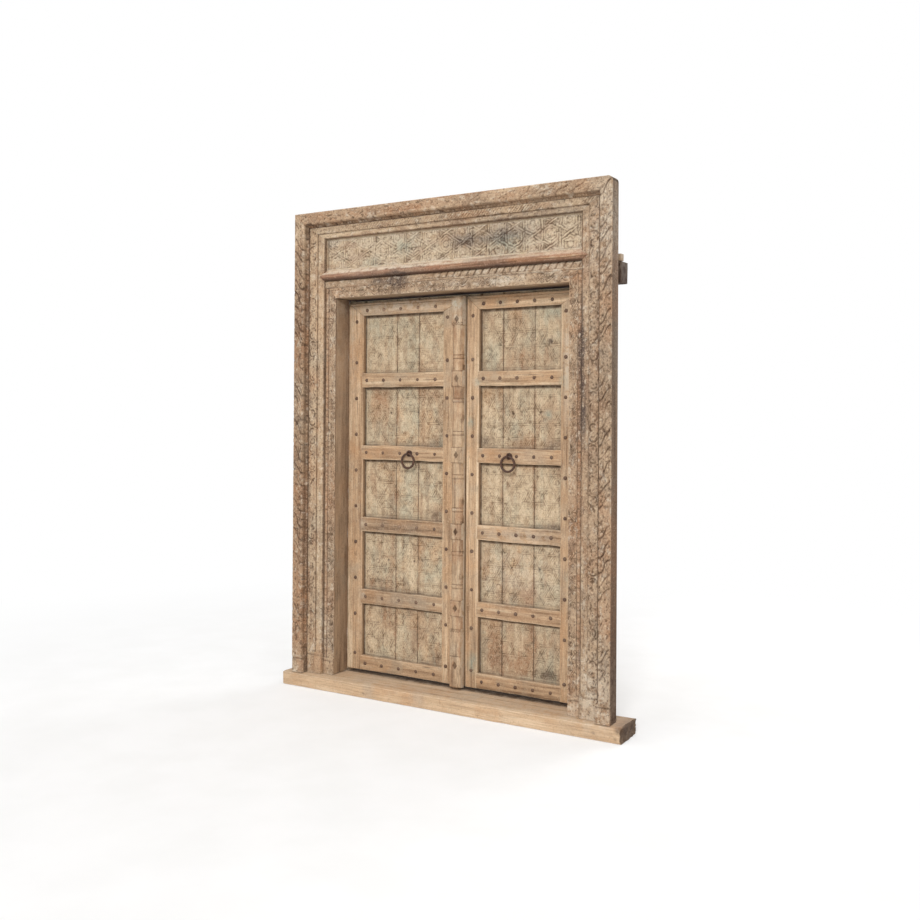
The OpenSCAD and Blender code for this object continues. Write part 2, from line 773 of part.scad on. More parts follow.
// A stile from its outer edge to the panels; a groove marks off a plain strip, unless strip is 0
module stile(x_edge, x_field, strip) {
    x0 = min(x_edge, x_field);
    w = abs(x_edge - x_field);
    difference() {
        intersection() {
            translate([x0, 0, leaf_low]) linear_extrude(leaf_top - leaf_low)
                bevelled(w, leaf_front, board_front);
            slab(leaf_front, board_front) polygon([[x_edge, leaf_low], [x_field, leaf_low],
                [x_field, leaf_top - top_rail_h], [x_edge, leaf_top]]);
        }
        if (strip > 0) upright_quirk(x_edge + sign(x_field - x_edge) * strip);
    }
}

module outer_stile(s) {
    color(BLEACHED) stile(dir(s) * leaf_out, field_out(s), outer_strip_w);
}

module meeting_stile(s) {
    color(BLEACHED) stile(meet_edge(s), field_in(s), s == "right" ? meeting_strip_w : 0);
}

module top_rail(s) {
    x0 = min(dir(s) * leaf_out, meet_edge(s));
    x1 = max(dir(s) * leaf_out, meet_edge(s));
    color(BLEACHED) difference() {
        intersection() {
            run_x(x0, x1, leaf_top) bevelled(top_rail_h, leaf_front, board_front);
            slab(leaf_front, board_front) polygon([[x0, leaf_top], [x1, leaf_top],
                [field_right(s), leaf_top - top_rail_h], [field_left(s), leaf_top - top_rail_h]]);
        }
        block([x0, leaf_front - EPS, leaf_top - top_strip_h - quirk_w / 2],
              [x1, leaf_front + quirk_w, leaf_top - top_strip_h + quirk_w / 2]);
    }
}

// Hole for the staple's shank, through plate and rail
module staple_hole(s) {
    translate([ring_x(s), leaf_front - plate_t - EPS, eye_z]) rotate([-90, 0, 0])
        cylinder(r = staple_wire_r + shank_clear, h = plate_t + stile_t + 2 * EPS);
}

module rail(s, top, h) {
    run_x(field_left(s), field_right(s), top) bevelled(h, leaf_front, board_front);
}

module mid_rail(s, i) {
    color(BLEACHED) difference() {
        rail(s, rail_z(i) + mid_rail_h / 2, mid_rail_h);
        if (i == 1) staple_hole(s);
    }
}

module bottom_rail(s) {
    color(BLEACHED) rail(s, leaf_low + low_rail_h, low_rail_h);
}

module batten(s, i) {
    z = rail_z(batten_rails[i]);
    x0 = dir(s) * (leaf_out - batten_short);
    x1 = meet_edge(s) + dir(s) * batten_short;
    color(PANEL) block([x0, board_back, z - batten_h / 2], [x1, board_back + batten_t, z + batten_h / 2]);
}

// Domed stud head with its flat back on the stile
module stud() {
    dome_r = (stud_r * stud_r + stud_h * stud_h) / (2 * stud_h);
    rotate([90, 0, 0]) rotate_extrude() intersection() {
        translate([0, stud_h - dome_r]) circle(dome_r);
        square([stud_r, stud_h]);
    }
}

module studs(s) {
    outer_x = field_out(s) + dir(s) * outer_stud(s);
    meeting_x = field_in(s) - dir(s) * meeting_stud(s);
    color(IRON) {
        for (x = [outer_x, meeting_x], z = stud_z()) translate([x, leaf_front, z]) stud();
        for (x = stud_x(s), z = rail_mid_z()) translate([x, leaf_front, z]) stud();
    }
}

module ring_plate(s) {
    color(IRON) difference() {
        translate([ring_x(s), leaf_front, eye_z]) rotate([90, 0, 0]) cylinder(d = plate_d, h = plate_t);
        staple_hole(s);
    }
}

module staple(s) {
    color(IRON) translate([ring_x(s), eye_y, eye_z]) {
        rotate([0, 90, 0]) rotate_extrude() translate([eye_r, 0]) circle(staple_wire_r);
        translate([0, eye_r, 0]) rotate([-90, 0, 0])
            cylinder(r = staple_wire_r, h = staple_wire_r + plate_t + shank_l);
    }
}

module ring(s) {
    color(IRON) translate([ring_x(s), eye_y, ring_axis_z - ring_r]) rotate([90, 0, 0])
        rotate_extrude() translate([ring_r, 0]) circle(ring_wire_r);
}

// Blocks of the astragal as [foot, top], from the top down
function astragal_blocks() = concat(
    [[leaf_top - top_block_h, leaf_top]],
    [for (i = MID_RAILS) let (half = mid_rail_h / 2 + block_past) [rail_z(i) - half, rail_z(i) + half]],
    [[leaf_low, leaf_low + foot_block_h]]
);

// Ground cut round the diamond on a block of the astragal from z0 to z1
module boss_ground(mid, z0, z1) {
    half = astragal_w / 2 - boss_margin;
    difference() {
        translate([mid - half, z0 + boss_margin]) square([2 * half, z1 - z0 - 2 * boss_margin]);
        translate([mid, (z0 + z1) / 2]) circle(half - lozenge_margin, $fn = 4);
    }
}

// Heights of the rings in the stretch between two blocks: a short stretch has the lower one alone
function collars(low, high) = high - low > 3.5 * collar_set ? [low + collar_set, high - collar_set]
    : high - low > 2 * collar_set ? [low + collar_set] : [];

module astragal() {
    mid = meet_x - astragal_w / 2;
    shaft_y = astragal_front + shaft_r + collar_out;
    blocks = astragal_blocks();
    color(BLEACHED) difference() {
        union() {
            block([mid - astragal_w / 2, leaf_front - astragal_base_t, leaf_low],
                  [meet_x, leaf_front, leaf_top]);
            for (b = blocks) block([mid - astragal_w / 2, astragal_front, b[0]], [meet_x, leaf_front, b[1]]);
            for (i = [1 : len(blocks) - 1]) {
                low = blocks[i][1];
                high = blocks[i - 1][0];
                translate([mid, shaft_y, low - EPS]) cylinder(r = shaft_r, h = high - low + 2 * EPS);
                for (z = collars(low, high)) translate([mid, shaft_y, z - collar_h / 2])
                    cylinder(r = shaft_r + collar_out, h = collar_h);
            }
        }
        block([mid - astragal_w, leaf_front, leaf_low - EPS], [meet_x + EPS, rear, leaf_top + EPS]);
        for (b = blocks) slab(astragal_front - EPS, astragal_front + panel_carve_d)
            boss_ground(mid, b[0], b[1]);
    }
}

sill();
door_post("left");  // door_post_left
door_post("right");  // door_post_right
door_head();
rear_lintel();
lintel_cleat("left");  // lintel_cleat_left
lintel_cleat("right");  // lintel_cleat_right
transom_board();
ledge();
rope_moulding();
outer_jamb("left");  // outer_jamb_left
outer_jamb("right");  // outer_jamb_right
outer_head();
second_jamb("left");  // second_jamb_left
second_jamb("right");  // second_jamb_right
second_head();
inner_band("left");  // inner_band_left
inner_band("right");  // inner_band_right
inner_band_head();
for (s = SIDES) {
    pivot_board(s);
    middle_board(s);
    meeting_board(s);
    outer_stile(s);
    meeting_stile(s);
    top_rail(s);
    for (i = MID_RAILS) mid_rail(s, i);
    bottom_rail(s);
    for (i = BATTENS) batten(s, i);
    studs(s);
    ring_plate(s);
    staple(s);
    ring(s);
}
astragal();
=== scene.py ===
"""Looks of a carved, weathered double door, worked out in millimetres from the frame's own boxes."""
import math

import bpy
import numpy as np
from mathutils import Matrix, Vector

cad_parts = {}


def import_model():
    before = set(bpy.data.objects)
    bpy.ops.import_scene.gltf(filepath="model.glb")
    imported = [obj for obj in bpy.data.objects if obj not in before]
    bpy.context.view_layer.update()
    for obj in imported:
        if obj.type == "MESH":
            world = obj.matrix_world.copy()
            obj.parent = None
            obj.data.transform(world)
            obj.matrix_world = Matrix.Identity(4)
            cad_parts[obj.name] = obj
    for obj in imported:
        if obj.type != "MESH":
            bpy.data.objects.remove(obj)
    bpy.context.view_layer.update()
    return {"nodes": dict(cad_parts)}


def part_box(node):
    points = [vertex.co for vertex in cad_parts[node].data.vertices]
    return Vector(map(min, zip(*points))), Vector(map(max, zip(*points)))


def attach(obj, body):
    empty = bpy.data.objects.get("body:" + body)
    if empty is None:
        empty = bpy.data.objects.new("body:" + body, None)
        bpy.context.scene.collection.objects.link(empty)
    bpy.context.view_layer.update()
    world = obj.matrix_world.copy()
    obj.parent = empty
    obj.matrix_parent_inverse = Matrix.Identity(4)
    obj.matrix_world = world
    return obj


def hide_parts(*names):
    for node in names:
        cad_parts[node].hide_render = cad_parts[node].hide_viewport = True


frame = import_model()

MM = 0.001
SIDES = ("left", "right")
SIGN = {"left": -1, "right": 1}
MARKS = ("hollow", "wear", "stain", "pale", "green", "warm")
random = np.random.default_rng(11)
NOISE_TABLE = random.random((256, 256))


# Numbers


def span(node):
    """Lowest and highest corner of a node, in millimetres."""
    low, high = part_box(node)
    return np.array(low) / MM, np.array(high) / MM


def spaced(low, high, step):
    return np.linspace(low, high, max(2, int(round(abs(high - low) / step)) + 1))


def joined(*stretches):
    return np.unique(np.round(np.concatenate([np.atleast_1d(s) for s in stretches]), 3))


def smooth(value, low, high):
    t = np.clip((value - low) / (high - low), 0, 1)
    return t * t * (3 - 2 * t)


def bump(value, middle, width):
    return np.exp(-(((value - middle) / width) ** 2))


def cell(value):
    """Distance from the middle of the unit cell that holds value, from -0.5 to 0.5."""
    return value - np.floor(value) - 0.5


def noise(u, v):
    """Smooth noise from 0 to 1, one bump a unit."""
    u, v = np.broadcast_arrays(np.asarray(u, float), np.asarray(v, float))
    iu, iv = np.floor(u).astype(int), np.floor(v).astype(int)
    fu, fv = smooth(u - iu, 0, 1), smooth(v - iv, 0, 1)
    a, b, c, d = iu % 256, (iu + 1) % 256, iv % 256, (iv + 1) % 256
    low = NOISE_TABLE[a, c] * (1 - fu) + NOISE_TABLE[b, c] * fu
    high = NOISE_TABLE[a, d] * (1 - fu) + NOISE_TABLE[b, d] * fu
    return low * (1 - fv) + high * fv


def cloud(u, v, octaves=3):
    total = sum(noise(u * 2**k + 17.3 * k, v * 2**k + 5.7 * k) / 2**k for k in range(octaves))
    return total / (2 - 2.0 ** (1 - octaves))


# Meshes


def linked(name, data):
    """A new object in the scene."""
    obj = bpy.data.objects.new(name, data)
    bpy.context.scene.collection.objects.link(obj)
    return obj


class Shape:
    """The closed shells of one piece: points in millimetres, faces, and a row of marks for each point."""

    def __init__(self):
        self.points, self.faces, self.flat, self.marks = [], [], [], []
        self.count = 0

    def add(self, points, faces, marks=None, flat=None):
        points = np.asarray(points, float).reshape(-1, 3)
        if marks is None:
            marks = np.zeros((len(points), len(MARKS)))
        self.points.append(points)
        self.marks.append(marks)
        self.faces += [[int(i) + self.count for i in face] for face in faces]
        self.flat += list(np.zeros(len(faces), bool) if flat is None else flat)
        self.count += len(points)

    def piece(self, name, material, body, slot, *nodes):
        mesh = bpy.data.meshes.new(name)
        points = np.concatenate(self.points)
        mesh.from_pydata((points * MM).tolist(), [], self.faces)
        marks = np.concatenate(self.marks)
        for k, mark in enumerate(MARKS):
            layer = mesh.attributes.new(mark, "FLOAT", "POINT")
            layer.data.foreach_set("value", np.clip(marks[:, k], 0, 1).astype(np.float32))
        shift = mesh.attributes.new("shift", "FLOAT_VECTOR", "POINT")
        offset = random.random(3) * 7
        shift.data.foreach_set("vector", np.tile(offset, len(points)).astype(np.float32))
        mesh.polygons.foreach_set("use_smooth", ~np.array(self.flat, bool))
        mesh.set_sharp_from_angle(angle=math.radians(50))
        mesh.materials.append(material)
        obj = linked(name, mesh)
        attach(obj, body)
        if nodes:
            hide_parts(*nodes)


# Marks seen in the photograph: middle x and z, reach to the side and up, strength
PATCHES = {
    # The two hollow rows at x 869 are painted shade on the frame's right side face.
    "hollow": ((906, 52, 10, 10, 0.7), (896, 20, 9, 7, 0.6), (869, 150, 2, 260, 0.45),
               (-16, 1597, 22, 4, 0.8), (18, 1550, 16, 20, 0.45), (106, 300, 8, 60, 0.5),
               (-835, 1850, 34, 330, 0.36), (-820, 1150, 40, 200, 0.15), (20, 1485, 24, 36, 0.3),
               (480, 190, 40, 22, 0.3), (869, 420, 2, 260, 0.3)),
    "stain": ((120, 2188, 90, 34, 0.85), (330, 2196, 85, 38, 0.85), (225, 2180, 230, 50, 0.4),
              (-262, 2026, 50, 36, 1.8), (-372, 2026, 70, 22, 0.8), (709, 1650, 17, 110, 1.1),
              (721, 1390, 17, 120, 1.0), (714, 1520, 18, 240, 0.5), (712, 1850, 9, 120, 0.7),
              (-330, 818, 260, 40, 0.55), (-330, 456, 260, 40, 0.35), (480, 190, 50, 26, 0.6),
              (230, 226, 45, 40, 0.35), (482, 1714, 13, 13, 0.9), (80, 1659, 6, 6, 0.9),
              (-330, 1880, 220, 7, 0.3), (-413, 23, 6, 4, 0.9), (796, 31, 8, 5, 0.8), (922, 40, 5, 40, 1.0),
              (905, 62, 14, 10, 0.6), (700, 350, 10, 60, 0.3), (-124, 196, 30, 30, 0.7),
              (510, 1244, 40, 20, 0.6), (146, 1249, 34, 24, 0.6), (507, 867, 60, 18, 0.6),
              (-132, 1240, 44, 20, 0.6), (-137, 889, 44, 26, 0.5), (832, 1640, 40, 200, 0.15),
              (768, 1480, 30, 240, 0.2)),
    # The pale row at z 72 is painted light along the sill's top.
    "pale": ((16, 1900, 34, 34, 1.0), (0, 72, 900, 5, 0.75), (330, 640, 210, 130, 0.35),
             (16, 1840, 34, 12, 0.6), (60, 1650, 7, 90, 0.8), (111, 1526, 26, 24, 0.5),
             (756, 190, 40, 130, 0.85), (664, 108, 36, 46, 0.6), (835, 200, 40, 150, 0.6),
             (810, 90, 60, 26, 0.4), (-700, 300, 20, 120, 0.5), (320, 1985, 110, 16, 0.7),
             (60, 1985, 60, 16, 0.6), (-850, 154, 40, 4, 0.8), (16, 1440, 22, 5, 0.6),
             (16, 1070, 22, 5, 0.5), (16, 924, 22, 5, 0.6), (-553, 820, 18, 30, 0.7),
             (-553, 458, 18, 30, 0.7), (836, 2200, 50, 170, 0.85), (765, 2050, 40, 200, 0.3),
             (-330, 1915, 300, 30, 0.75), (582, 1620, 20, 260, 0.8), (330, 818, 240, 28, 0.45),
             (-625, 1680, 30, 260, 0.25)),
    "green": ((77, 1341, 14, 17, 1.0), (20, 1906, 26, 20, 0.6), (113, 1528, 20, 18, 0.6),
              (244, 1905, 26, 14, 0.8), (506, 1846, 46, 24, 0.6), (474, 1376, 22, 22, 0.8),
              (95, 205, 26, 50, 0.75), (-237, 2188, 60, 40, 0.6), (-427, 2125, 50, 25, 0.5),
              (330, 2150, 90, 40, 0.5), (300, 1300, 50, 60, 0.45), (560, 1530, 24, 40, 0.35),
              (600, 640, 24, 24, 0.4), (-173, 573, 40, 50, 0.4), (160, 1640, 40, 60, 0.3),
              (-300, 1720, 40, 120, 0.3)),
    "warm": ((24, 1480, 22, 40, 0.9), (500, 2052, 200, 20, 0.7), (-280, 2355, 420, 30, 0.5),
             (660, 1990, 60, 30, 0.6), (880, 70, 60, 12, 0.8), (869, 500, 2, 420, 0.8),
             (-149, 1468, 45, 45, 0.8), (-471, 1450, 60, 50, 0.7), (-487, 1351, 60, 70, 0.45),
             (-362, 930, 16, 70, 0.7), (-422, 355, 60, 60, 0.5), (-472, 515, 60, 30, 0.6),
             (-255, 244, 18, 60, 0.7), (346, 1647, 55, 50, 0.9), (338, 1811, 30, 60, 0.6),
             (481, 1644, 45, 50, 0.6), (342, 1250, 60, 40, 0.7), (354, 544, 80, 45, 0.9),
             (180, 263, 60, 80, 0.9), (384, 300, 55, 90, 0.9), (334, 219, 60, 40, 0.7),
             (510, 335, 30, 70, 0.7), (620, 1180, 30, 260, 0.3), (-835, 1700, 40, 320, 0.4),
             (-700, 1600, 40, 260, 0.35), (690, 1000, 40, 300, 0.35), (-835, 480, 40, 260, 0.9),
             (-835, 950, 40, 240, 0.7), (330, 1180, 240, 28, 0.4), (330, 456, 240, 28, 0.4),
             (-420, 1180, 180, 28, 0.4)),
}


def mark_rows(points, **values):
    """Marks of each point: those given, and those that belong to its place on the door."""
    rows = np.zeros((len(points), len(MARKS)))
    for name, value in values.items():
        rows[:, MARKS.index(name)] = np.reshape(value, -1) if np.ndim(value) else value
    x, z = points[:, 0], points[:, 2]
    for name, patches in PATCHES.items():
        for px, pz, reach_x, reach_z, strength in patches:
            rows[:, MARKS.index(name)] += strength * bump(x, px, reach_x) * bump(z, pz, reach_z)
    return rows


def add_slab(shape, x, y, z, back, walls=None, **marks):
    """A closed slab: its front runs through a grid of points, rows from the foot up. Its sides are flat, or
    follow the rim and have marks of their own."""
    rows, cols = x.shape
    index = np.arange(rows * cols).reshape(rows, cols)
    quads = np.stack([index[:-1, :-1], index[:-1, 1:], index[1:, 1:], index[1:, :-1]], -1).reshape(-1, 4)
    rim = [index[0, :], index[:, -1], index[-1, ::-1], index[::-1, 0]]
    first = rows * cols
    faces = quads.tolist()
    points = np.stack([x, y, z], -1).reshape(-1, 3)
    corners = np.concatenate([edge[:-1] if walls else edge[:1] for edge in rim])
    count = len(corners)
    behind = points[corners].copy()
    behind[:, 1] = back
    if walls:
        shoulder = points[corners].copy()
        shoulder[:, 1] = np.minimum(shoulder[:, 1] + 3, back - 0.2)
        last = np.concatenate([shoulder, behind])
        last_marks = mark_rows(last, **walls)
        rings = [corners, first + np.arange(count), first + count + np.arange(count)]
        for near, far in zip(rings, rings[1:]):
            faces += [[near[k], far[k], far[(k + 1) % count], near[(k + 1) % count]] for k in range(count)]
    else:
        last, last_marks = behind, np.zeros((count, len(MARKS)))
        faces += [[first + k, first + (k + 1) % 4] + edge[::-1].tolist() for k, edge in enumerate(rim)]
    end = first + len(last)
    faces.append(list(range(end - count, end))[::-1])
    flat = [False] * len(quads) + [True] * (len(faces) - len(quads))
    all_marks = np.concatenate([mark_rows(points, **marks), last_marks])
    shape.add(np.concatenate([points, last]), faces, all_marks, flat)


def add_timber(shape, low, high, radius=4, step=16, dents=1.2, cuts=None, front=None, bend=None, dirt=0.0,
               shade=None):
    """A squared timber with worn, rounded edges and a slightly uneven surface, all within its box."""
    low, high = np.asarray(low, float), np.asarray(high, float)
    axes = []
    for k in range(3):
        edge = min(radius, 0.45 * (high[k] - low[k]))
        ends = [low[k], low[k] + edge * 0.3, high[k] - edge * 0.3, high[k]]
        cut = np.asarray((cuts or {}).get(k, [low[k]]))
        even = spaced(low[k] + edge, high[k] - edge, step)
        even = even[np.abs(even[:, None] - cut).min(1) > 1.0]
        axes.append(joined(ends, even, cut))
    sizes = [len(a) for a in axes]
    quads = []
    for k in range(3):
        u, v = (k + 1) % 3, (k + 2) % 3
        at = [None, None, None]
        at[u], at[v] = np.meshgrid(np.arange(sizes[u]), np.arange(sizes[v]), indexing="ij")
        for end in (0, sizes[k] - 1):
            at[k] = np.full(at[u].shape, end)
            ids = (at[0] * sizes[1] + at[1]) * sizes[2] + at[2]
            face = np.stack([ids[:-1, :-1], ids[1:, :-1], ids[1:, 1:], ids[:-1, 1:]], -1).reshape(-1, 4)
            quads.append(face if end else face[:, ::-1])
    used, quads = np.unique(np.concatenate(quads), return_inverse=True)
    quads = quads.reshape(-1, 4)
    where = np.unravel_index(used, sizes)
    flat_points = np.stack([axes[k][where[k]] for k in range(3)], -1)
    px, py, pz = flat_points.T
    edge = np.minimum(radius * (0.6 + 0.8 * cloud((px + py) / 60 + low[0], pz / 60 + low[2])), radius)
    edge = np.minimum(edge, 0.45 * (high - low).min())[:, None]
    core = np.clip(flat_points, low + edge, high - edge)
    out = flat_points - core
    reach = np.linalg.norm(out, axis=1, keepdims=True)
    normal = out / reach
    sag = dents * cloud((px + 0.7 * py) / 45 + high[0], (pz + 0.6 * py) / 45 + high[2])[:, None]
    points = core + normal * (edge - sag)
    if front is not None:
        facing = normal[:, 1] < -0.7
        points[facing, 1] += front(px[facing], pz[facing])
    if bend is not None:
        points = bend(points)
    worn = np.clip((reach / edge - 1)[:, 0] / 0.41, 0, 1)
    # Painted shade on the sides and undersides, given as hollow, and dust on the tops, given as stain and
    # pale.
    side = dirt * smooth(py, low[1] + 3, low[1] + 10)
    up = normal[:, 2] > 0.5
    hollow = side * ~up + (shade(px, py, pz) if shade else 0)
    marks = mark_rows(points, wear=worn, hollow=hollow, stain=0.5 * side * up, pale=0.6 * side * up)
    shape.add(points, quads, marks)


def add_round(shape, axis_x, axis_y, radius, z0, z1, sides=28):
    """An upright round pin."""
    turn = np.linspace(0, 2 * math.pi, sides, endpoint=False)
    ring = np.stack([axis_x + radius * np.cos(turn), axis_y + radius * np.sin(turn)], -1)
    points = [np.column_stack([ring, np.full(sides, z)]) for z in (z0, z1)]
    faces = [[k, (k + 1) % sides, sides + (k + 1) % sides, sides + k] for k in range(sides)]
    faces += [list(range(sides))[::-1], list(range(sides, 2 * sides))]
    shape.add(np.concatenate(points), faces, None, [False] * sides + [True, True])


# Materials


def linear(red, green, blue):
    """A colour as it shows on screen, 0 to 255, as the shader's own values."""
    parts = [c / 255 for c in (red, green, blue)]
    return tuple(c / 12.92 if c <= 0.04045 else ((c + 0.055) / 1.055) ** 2.4 for c in parts) + (1.0,)


def blend(a, b, share):
    return [p + (q - p) * share for p, q in zip(a, b)]


class Graph:
    """The node tree of a material or world, with short calls for what is used here."""

    def __init__(self, owner):
        self.owner = owner
        owner.use_nodes = True
        self.tree = owner.node_tree
        self.tree.nodes.clear()

    def node(self, kind, inputs=None, **settings):
        made = self.tree.nodes.new(kind)
        for key, value in settings.items():
            setattr(made, key, value)
        for key, value in (inputs or {}).items():
            if isinstance(value, bpy.types.NodeSocket):
                self.tree.links.new(value, made.inputs[key])
            else:
                made.inputs[key].default_value = value
        return made

    def place(self, stretch=(1, 1, 1)):
        """Coordinates in metres, moved by the piece's own shift and scaled along each axis."""
        here = self.node("ShaderNodeTexCoord").outputs["Object"]
        shift = self.node("ShaderNodeAttribute", attribute_name="shift").outputs["Vector"]
        moved = self.node("ShaderNodeVectorMath", {0: here, 1: shift}, operation="ADD").outputs[0]
        return self.node("ShaderNodeMapping", {"Vector": moved, "Scale": stretch}).outputs[0]

    def noise(self, place, scale, detail=3.0, roughness=0.55, distortion=0.0):
        inputs = {"Vector": place, "Scale": scale, "Detail": detail, "Roughness": roughness}
        return self.node("ShaderNodeTexNoise", {**inputs, "Distortion": distortion}).outputs["Fac"]

    def mark(self, name):
        return self.node("ShaderNodeAttribute", attribute_name=name).outputs["Fac"]

    def ranged(self, value, low, high, to_low=0.0, to_high=1.0):
        inputs = {"Value": value, "From Min": low, "From Max": high, "To Min": to_low, "To Max": to_high}
        return self.node("ShaderNodeMapRange", inputs, interpolation_type="SMOOTHSTEP").outputs[0]

    def math(self, operation, a, b):
        return self.node("ShaderNodeMath", {0: a, 1: b}, operation=operation, use_clamp=True).outputs[0]

    def mix(self, factor, a, b):
        return self.node("ShaderNodeMix", {0: factor, 6: a, 7: b}, data_type="RGBA").outputs[2]

    def seen(self):
        """1 for rays that the camera sees, straight or mirrored or let through, and 0 for the rest."""
        path = self.node("ShaderNodeLightPath").outputs
        mirrored = self.math("MAXIMUM", path["Is Glossy Ray"], path["Is Transmission Ray"])
        return self.math("MAXIMUM", path["Is Camera Ray"], mirrored)

    def surface(self, colour, roughness, height, depth, **constants):
        inputs = {"Height": height, "Strength": 0.9, "Distance": depth}
        normal = self.node("ShaderNodeBump", inputs).outputs[0]
        sockets = {"Base Color": colour, "Roughness": roughness, "Normal": normal, **constants}
        shader = self.node("ShaderNodeBsdfPrincipled", sockets)
        self.node("ShaderNodeOutputMaterial", {"Surface": shader.outputs[0]})
        return self.owner


# Colour of grime in hollows and checks, also used as painted shade wherever the hollow mark is set for
# shade.
DIRT_AND_SHADE = linear(62, 43, 31)
BLACK, FLECK, WORN_EDGE = (0, 0, 0), (255, 248, 236), (255, 250, 240)
# Each: colour, the blotches between which it fades in, its least share and its strength
TRACES = {
    "warm": (linear(150, 104, 70), 0.30, 0.62, 0.35, 0.75),
    "stain": (linear(80, 67, 62), 0.20, 0.62, 0.35, 0.95),
    "pale": (linear(206, 192, 172), 0.36, 0.56, 0.0, 0.85),
    "green": (linear(134, 150, 138), 0.36, 0.56, 0.35, 0.8),
}


def wood(name, grain, dark, middle, light, warm, cool, streaks, pits, blots):
    """Weathered timber: grain, checks, gouges, grime and painted shade in hollows, pale worn edges and
    traces of paint.
    """
    g = Graph(bpy.data.materials.new(name))
    along = {"x": (0.035, 1, 1), "z": (1, 1, 0.035)}[grain]
    streaked, plain = g.place(along), g.place()
    streak = g.noise(streaked, 42.0, 5.0, 0.65)
    fine = g.noise(streaked, 330.0, 3.0, 0.6)
    check = g.noise(streaked, 120.0, 2.0, 0.5, 0.4)
    patch = g.noise(plain, 3.6, 5.0, 0.62)
    drift = g.noise(plain, 6.1, 5.0, 0.6)
    blotch = g.noise(plain, 30.0, 5.0, 0.68)
    pit = g.noise(plain, 135.0, 3.0, 0.62, 0.6)
    low = g.mix(g.ranged(streak, 0.32, 0.50), linear(*blend(middle, dark, streaks)), linear(*middle))
    colour = g.mix(g.ranged(streak, 0.50, 0.70), low, linear(*blend(middle, light, streaks)))
    colour = g.mix(g.ranged(patch, 0.48, 0.66, 0.0, 0.8), colour, linear(*warm))
    colour = g.mix(g.ranged(drift, 0.50, 0.68, 0.0, 0.75), colour, linear(*cool))
    colour = g.mix(g.ranged(blotch, 0.54, 0.72, 0.0, blots), colour, linear(*dark))
    colour = g.mix(g.ranged(fine, 0.30, 0.60, 0.36 * streaks, 0.0), colour, linear(*blend(BLACK, dark, 0.6)))
    colour = g.mix(g.ranged(check, 0.68, 0.78, 0.0, 0.6 * streaks), colour, DIRT_AND_SHADE)
    worn = g.math("MULTIPLY", g.mark("wear"), g.ranged(blotch, 0.30, 0.62, 0.20, 0.75))
    colour = g.mix(worn, colour, linear(*blend(WORN_EDGE, light, 0.88)))
    for mark, (tone, low_edge, high_edge, least, strength) in TRACES.items():
        share = g.math("MULTIPLY", g.mark(mark), g.ranged(blotch, low_edge, high_edge, least, 1.0))
        colour = g.mix(g.math("MULTIPLY", share, strength), colour, tone)
    colour = g.mix(g.ranged(pit, 0.32, 0.46, 0.8 * pits, 0.0), colour, linear(*blend(FLECK, light, 0.9)))
    colour = g.mix(g.ranged(pit, 0.54, 0.68, 0.0, pits), colour, linear(*blend(BLACK, dark, 0.72)))
    # Hollow mark: grime in carved hollows, and painted shade under rails, on sides and undersides, on the
    # posts, the soffit and the sill under the leaves.
    deep = g.math("MULTIPLY", g.mark("hollow"), g.ranged(blotch, 0.25, 0.7, 0.95, 0.6))
    colour = g.mix(deep, colour, DIRT_AND_SHADE)
    relief = g.math("ADD", *[g.math("MULTIPLY", layer, 0.4 * streaks) for layer in (fine, streak)])
    relief = g.math("ADD", relief, g.ranged(pit, 0.52, 0.66, 0.5 * pits, 0.0))
    relief = g.math("SUBTRACT", relief, g.ranged(check, 0.68, 0.78, 0.0, 0.4 * streaks))
    roughness = g.ranged(streak, 0.3, 0.7, 0.88, 0.74)
    return g.surface(colour, roughness, relief, 0.0016, **{"Specular IOR Level": 0.25})


def iron():
    """Hand-forged iron, dark and dry with rust."""
    g = Graph(bpy.data.materials.new("rusted_iron"))
    plain = g.place()
    rust = g.noise(plain, 90.0, 5.0, 0.65)
    pits = g.noise(plain, 420.0, 3.0, 0.6)
    colour = g.mix(g.ranged(rust, 0.40, 0.66), linear(72, 53, 44), linear(94, 64, 47))
    colour = g.mix(g.ranged(pits, 0.55, 0.75, 0.0, 0.6), colour, linear(52, 38, 30))
    colour = g.mix(g.mark("pale"), colour, linear(158, 132, 108))
    return g.surface(colour, g.ranged(rust, 0.35, 0.7, 0.55, 0.85), pits, 0.0012, Metallic=0.25)


# Each: dark, middle, light, warm drift and cool drift, then how grained, gouged and blotched it is
TIMBERS = {
    "bleached": ((140, 111, 84), (192, 160, 127), (222, 196, 163), (190, 150, 112), (180, 159, 134),
                 1.1, 0.32, 0.5),
    "sill": ((150, 120, 91), (200, 171, 139), (222, 198, 168), (192, 154, 118), (186, 164, 140),
             0.8, 0.22, 0.5),
    "carved": ((90, 67, 50), (155, 127, 100), (207, 180, 148), (163, 122, 90), (149, 132, 112),
               0.6, 0.66, 0.45),
    "pale": ((97, 75, 57), (170, 142, 113), (215, 191, 159), (171, 134, 100), (161, 144, 122),
             0.6, 0.62, 0.45),
    "panel": ((112, 88, 65), (189, 163, 131), (224, 204, 172), (184, 141, 99), (174, 163, 138),
              0.5, 0.42, 0.3),
    "transom": ((112, 93, 73), (194, 172, 143), (224, 205, 176), (188, 157, 122), (176, 162, 143),
                0.35, 0.5, 0.5),
    "ledge": ((102, 74, 58), (161, 127, 104), (204, 175, 146), (156, 112, 88), (146, 121, 105),
              1.2, 0.35, 0.5),
    "post": ((118, 96, 76), (174, 147, 119), (200, 174, 146), (170, 138, 107), (156, 138, 116),
             0.8, 0.25, 0.5),
    "dark": ((46, 34, 28), (70, 54, 46), (96, 76, 64), (80, 56, 44), (64, 54, 50),
             1.0, 0.3, 0.5),
}
WOODS = {(kind, grain): wood(f"{kind}_wood_{grain}", grain, *tones)
         for kind, tones in TIMBERS.items() for grain in "xz"}
IRON = iron()


# Carving: each pattern gives the height of the wood, from 0 in the ground to 1 on top


